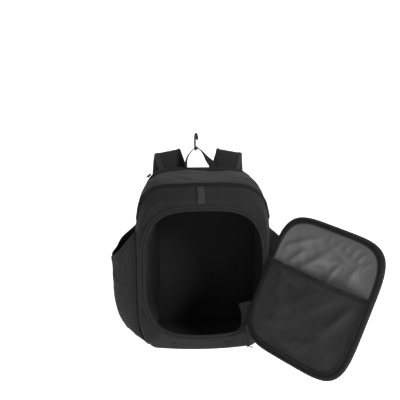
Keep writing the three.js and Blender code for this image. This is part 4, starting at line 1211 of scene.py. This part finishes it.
def make_handle():
    """The grab handle: a webbing strip over an arch, through a table of stations whose columns are the
    side, the share of the rise, the share of the way to the top and the twist in degrees; it lies flat
    and bunched in the hook's bend."""
    lean, rise, foot = HANDLE_LEAN, HANDLE_RISE, HANDLE_FOOT
    table = np.array([
        [-1, -0.08, 0.00, 62],
        [-1, 0.14, 0.00, 62],
        [-1, 0.34, 0.04, 66],
        [-1, 0.55, 0.18, 70],
        [-1, 0.75, 0.42, 76],
        [-1, 0.93, 0.74, 86],
        [0, 1.00, 1.00, 90],
        [1, 0.93, 0.80, 95],
        [1, 0.75, 0.60, 108],
        [1, 0.55, 0.45, 122],
        [1, 0.34, 0.28, 138],
        [1, 0.16, 0.11, 150],
        [1, -0.08, 0.00, 155],
    ])
    foot_x = np.where(table[:, 0] < 0, HANDLE_LEFT - 5, HANDLE_RIGHT)
    rows = np.stack([foot_x * (1 - table[:, 2]) + lean * table[:, 2], foot + rise * table[:, 1],
                     table[:, 3]], 1)
    run = smooth_path(rows * [1, 1, 0.4], 110) / [1, 1, 0.4]
    path = np.stack([run[:, 0], np.full(110, HANDLE_DEPTH), run[:, 1]], 1)
    twist = np.radians(run[:, 2])
    along = unit(np.gradient(path, axis=0))
    flat = unit(np.cross(np.array([0.0, 1, 0]), along))
    across = flat * np.cos(twist)[:, None] + np.array([0.0, 1, 0]) * np.sin(twist)[:, None]
    width = 20 * (1 - 0.5 * np.sin(twist) ** 4)
    strip = ribbon("grab_handle_web", path, across, width, 2.4, WEBBING)
    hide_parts("grab_handle")


HOOK_LOW, HOOK_HIGH, HOOK_REACH = 10.5, 10.5, 22.5


def make_hook():
    """The wire hook: an upper bend that hooks over a fence wire and a lower bend that holds the handle,
    both round and in one upright plane, turned a little about the vertical, with a thicker tip."""
    upper = np.linspace(0, math.pi, 24)
    lower = np.linspace(math.pi, 1.86 * math.pi, 24)
    run = np.concatenate([
        [[HOOK_HIGH + 1.4, -HOOK_HIGH * 0.5], [HOOK_HIGH + 0.4, -HOOK_HIGH * 0.25]],
        np.stack([HOOK_HIGH * np.cos(upper), HOOK_HIGH * np.sin(upper)], 1),
        np.stack([HOOK_LOW * np.cos(lower), HOOK_LOW * np.sin(lower) - HOOK_REACH], 1)])
    run = spaced(run, 90)
    turn = math.radians(-18)
    path = np.stack([-run[:, 0] * math.sin(turn), run[:, 0] * math.cos(turn), run[:, 1]], 1)
    side = np.array([math.cos(turn), math.sin(turn), 0])
    path = path - BAG_SHIFT
    hook = rod("hook_wire", path, 5.0, STEEL, side, 14)
    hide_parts("fence_hook")
    tip = rod("hook_tip", path[:8], 6.6, STEEL, side, 14)


# Small trim

def make_front_loop():
    """The ribbed strip over the brow: a ribbon on the shell's middle column, from the zip down over the
    rim, with a bar of stitches at each end."""
    column = COLUMNS / 2 + 3
    rows = np.linspace(row_at(0.155), FACE_ROWS - 6.5, 40)
    path, out = body_point(rows, column, 1.2)
    path[:, 0] = FRONT_TRIM_SIDE
    strip = ribbon("front_strip", path, np.tile((1.0, 0, 0), (40, 1)), 18, 1.8, LIGHT_WEBBING)
    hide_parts("front_loop")
    for index, word in ((2, "upper"), (-3, "lower")):
        centre = path[index] + out[index] * 1.1
        line = centre + np.linspace(-8, 8, 9)[:, None] * np.array([1.0, 0, 0])
        row = stitch_row(f"front_strip_stitches_{word}", line, out[index], THREAD, pitch=2.2, length=1.7)


def make_eyelet(name):
    """A pressed eyelet: a rounded ring section turned about its axis, on the shell's lower front."""
    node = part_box(f"vent_eyelet_{name}")
    low, high = (np.array(c) * 1000 - BAG_SHIFT for c in node)
    x, z = (low[0] + high[0]) / 2, (low[2] + high[2]) / 2
    face = BODY[:FACE_ROWS + 2, :, :].reshape(-1, 3)
    near = np.argmin((face[:, 0] - x) ** 2 + (face[:, 2] - z) ** 2)
    out = BODY_OUT[:FACE_ROWS + 2].reshape(-1, 3)[near]
    centre = np.array([x, face[near, 1], z]) + out * 0.5
    level = unit(np.cross(np.array([0, 0, 1.0]), out))
    up = np.cross(out, level)
    angle = np.linspace(0, 2 * math.pi, 40, endpoint=False)[:, None]
    spoke = level * np.cos(angle) + up * np.sin(angle)
    section = np.array([[2.5, -0.8], [2.4, 0.5], [2.9, 1.3], [3.7, 1.5], [4.5, 1.1], [5.0, 0.3], [5.0, -0.8]])
    grid = centre + spoke[:, None] * section[None, :, :1] + out * section[None, :, 1:]
    ring = hoop(f"eyelet_{name}", grid, STEEL)
    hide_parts(f"vent_eyelet_{name}")
    hole = centre + spoke[:, None] * np.array([0.0, 1.2, 2.5])[None, :, None]
    plug = hoop(f"eyelet_hole_{name}", np.concatenate([hole + out * 0.25, (hole - out * 0.4)[:, ::-1]], 1),
                NYLON, weld=True)


def make_pulls():
    """The door slider's cord, its knot with a loose tail, and better finishes for the small metal."""
    low, high = (np.array(c) * 1000 - BAG_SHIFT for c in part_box("door_pull_cord"))
    top = np.array([low[0] + 1.5, high[1] - 1.6, high[2]])
    foot = np.array([high[0] - 1.5, low[1] + 1.6, low[2]])
    middle = (top + foot) / 2 + np.array([-0.8, -1, 0])
    path = smooth_path([top, middle, foot], 24)
    cord = rod("slider_cord", path, 3.0, CORD_BRAID, (0, -1, 0), 10, tips=False)
    low, high = (np.array(c) * 1000 - BAG_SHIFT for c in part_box("door_pull_knot"))
    centre = foot + np.array([0.3, 0, -4.5])
    turn = np.linspace(0, 2 * math.pi, 90, endpoint=False)
    knot = np.stack([np.sin(turn) + 2 * np.sin(2 * turn), -1.1 * np.sin(3 * turn),
                     np.cos(turn) - 2 * np.cos(2 * turn)], 1) * 1.15 + centre
    ball = rod("cord_knot", knot, 2.9, CORD_BRAID, (0, -1, 0), 8, True)
    tail_end = centre + np.array([13, 0, -7.1])
    tail_path = smooth_path([centre + [1, 0, -1], (centre + tail_end) / 2 + [0, -0.6, 1], tail_end], 14)
    tail = rod("cord_tail", tail_path, 2.8, CORD_BRAID, (0, -1, 0), 8)
    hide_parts("door_pull_cord")
    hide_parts("door_pull_knot")
    for node, material in (("door_slider", STEEL), ("rear_slider", STEEL), ("rear_pull", PALE_METAL),
                           ("ladder_lock_left", NYLON), ("ladder_lock_right", NYLON)):
        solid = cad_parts[node]
        solid.data.materials.clear()
        solid.data.materials.append(material)
        softened = solid.modifiers.new("soft_edges", "BEVEL")
        softened.width = 0.0005
        softened.segments = 2
        softened.limit_method = "ANGLE"
        softened.angle_limit = math.radians(40)


# Floor, light and camera

def make_stage():
    """A pale floor that rises behind the bag as one smooth sweep."""
    finish = Finish("studio_floor", (0.86, 0.86, 0.86), 0.9, specular=0.2)
    finish.paint(finish.noise(0.6, 2), 0.985, 1.0)
    finish.set("Emission Color", (1, 1, 1, 1))
    finish.set("Emission Strength", 0.8)
    floor_z = -0.74
    turn = np.linspace(0, math.pi / 2, 24)
    bend = 1.2
    run = np.concatenate([[[-4.0, floor_z]],
                          np.stack([3.0 + bend * np.sin(turn), floor_z + bend * (1 - np.cos(turn))], 1),
                          [[3.0 + bend, 5.0]]])
    x = np.linspace(-6, 6, 12)
    grid = np.stack([np.broadcast_to(x[None], (len(run), 12)),
                     np.broadcast_to(run[:, :1], (len(run), 12)),
                     np.broadcast_to(run[:, 1:], (len(run), 12))], -1)
    faces, _, _ = grid_faces(*grid.shape[:2])
    mesh = bpy.data.meshes.new("studio_sweep")
    mesh.from_pydata(grid.reshape(-1, 3).tolist(), [], faces[:, ::-1].tolist())
    mesh.polygons.foreach_set("use_smooth", np.full(len(mesh.polygons), True))
    mesh.materials.append(finish.material)
    floor = bpy.data.objects.new("studio_sweep", mesh)
    bpy.context.scene.collection.objects.link(floor)


def make_lights():
    """One strong soft light from the right, a weak one from the left, and two that lift the top."""
    bpy.context.scene.view_settings.view_transform = "Standard"
    world = bpy.data.worlds.new("studio")
    bpy.context.scene.world = world
    world.use_nodes = True
    world.node_tree.nodes["Background"].inputs["Color"].default_value = (1, 1, 1, 1)
    world.node_tree.nodes["Background"].inputs["Strength"].default_value = 0.2
    for name, place, size, power in (
            ("key", (1.6, -1.6, 0.6), 0.6, 50),
            ("fill", (-1.6, -1.6, 0.8), 1.2, 10),
            ("top", (0.4, -0.3, 1.9), 1.2, 3),
            ("back", (0.6, 2.0, 1.5), 1.6, 5)):
        light = bpy.data.lights.new(name, "AREA")
        light.energy = power
        light.size = size
        lamp = bpy.data.objects.new(name, light)
        lamp.location = place
        way = Vector((0.05, -0.1, -0.3)) - Vector(place)
        lamp.rotation_euler = way.to_track_quat("-Z", "Y").to_euler()
        bpy.context.scene.collection.objects.link(lamp)


def make_camera():
    """The photograph's camera: 1.7 m before the bag's front, a little left of it, looking 12 degrees
    down with a 64.8 mm lens."""
    turn = math.radians(3.5)
    place = np.array([-4.3, FRONT - 1700, 752.0])
    place = np.array([place[0] * math.cos(turn) + place[1] * math.sin(turn),
                      place[1] * math.cos(turn) - place[0] * math.sin(turn), place[2]])
    lens = bpy.data.cameras.new("camera")
    lens.lens = 64.8
    lens.sensor_width = 36
    lens.clip_end = 50
    camera = bpy.data.objects.new("camera", lens)
    camera.location = metres(place)
    camera.rotation_euler = (math.radians(78), 0, -turn)
    bpy.context.scene.collection.objects.link(camera)
    bpy.context.scene.camera = camera


make_camera()
make_pulls()
make_lights()
make_stage()
make_shell()
make_body_trim()
make_arch_zip("crown_zip", 0.19, "crown_zip_teeth")
make_arch_zip("rear_zip", 0.86, "rear_zip_teeth")
make_opening_zip()
make_inner_wall()
make_door()
make_door_lining()
make_door_pocket()
make_hinge()
make_side_pocket("left", -1)
make_side_pocket("right", 1)
make_back_panel()
make_strap("left", -1)
make_strap("right", 1)
make_handle()
make_hook()
make_front_loop()
make_eyelet("left")
make_eyelet("right")
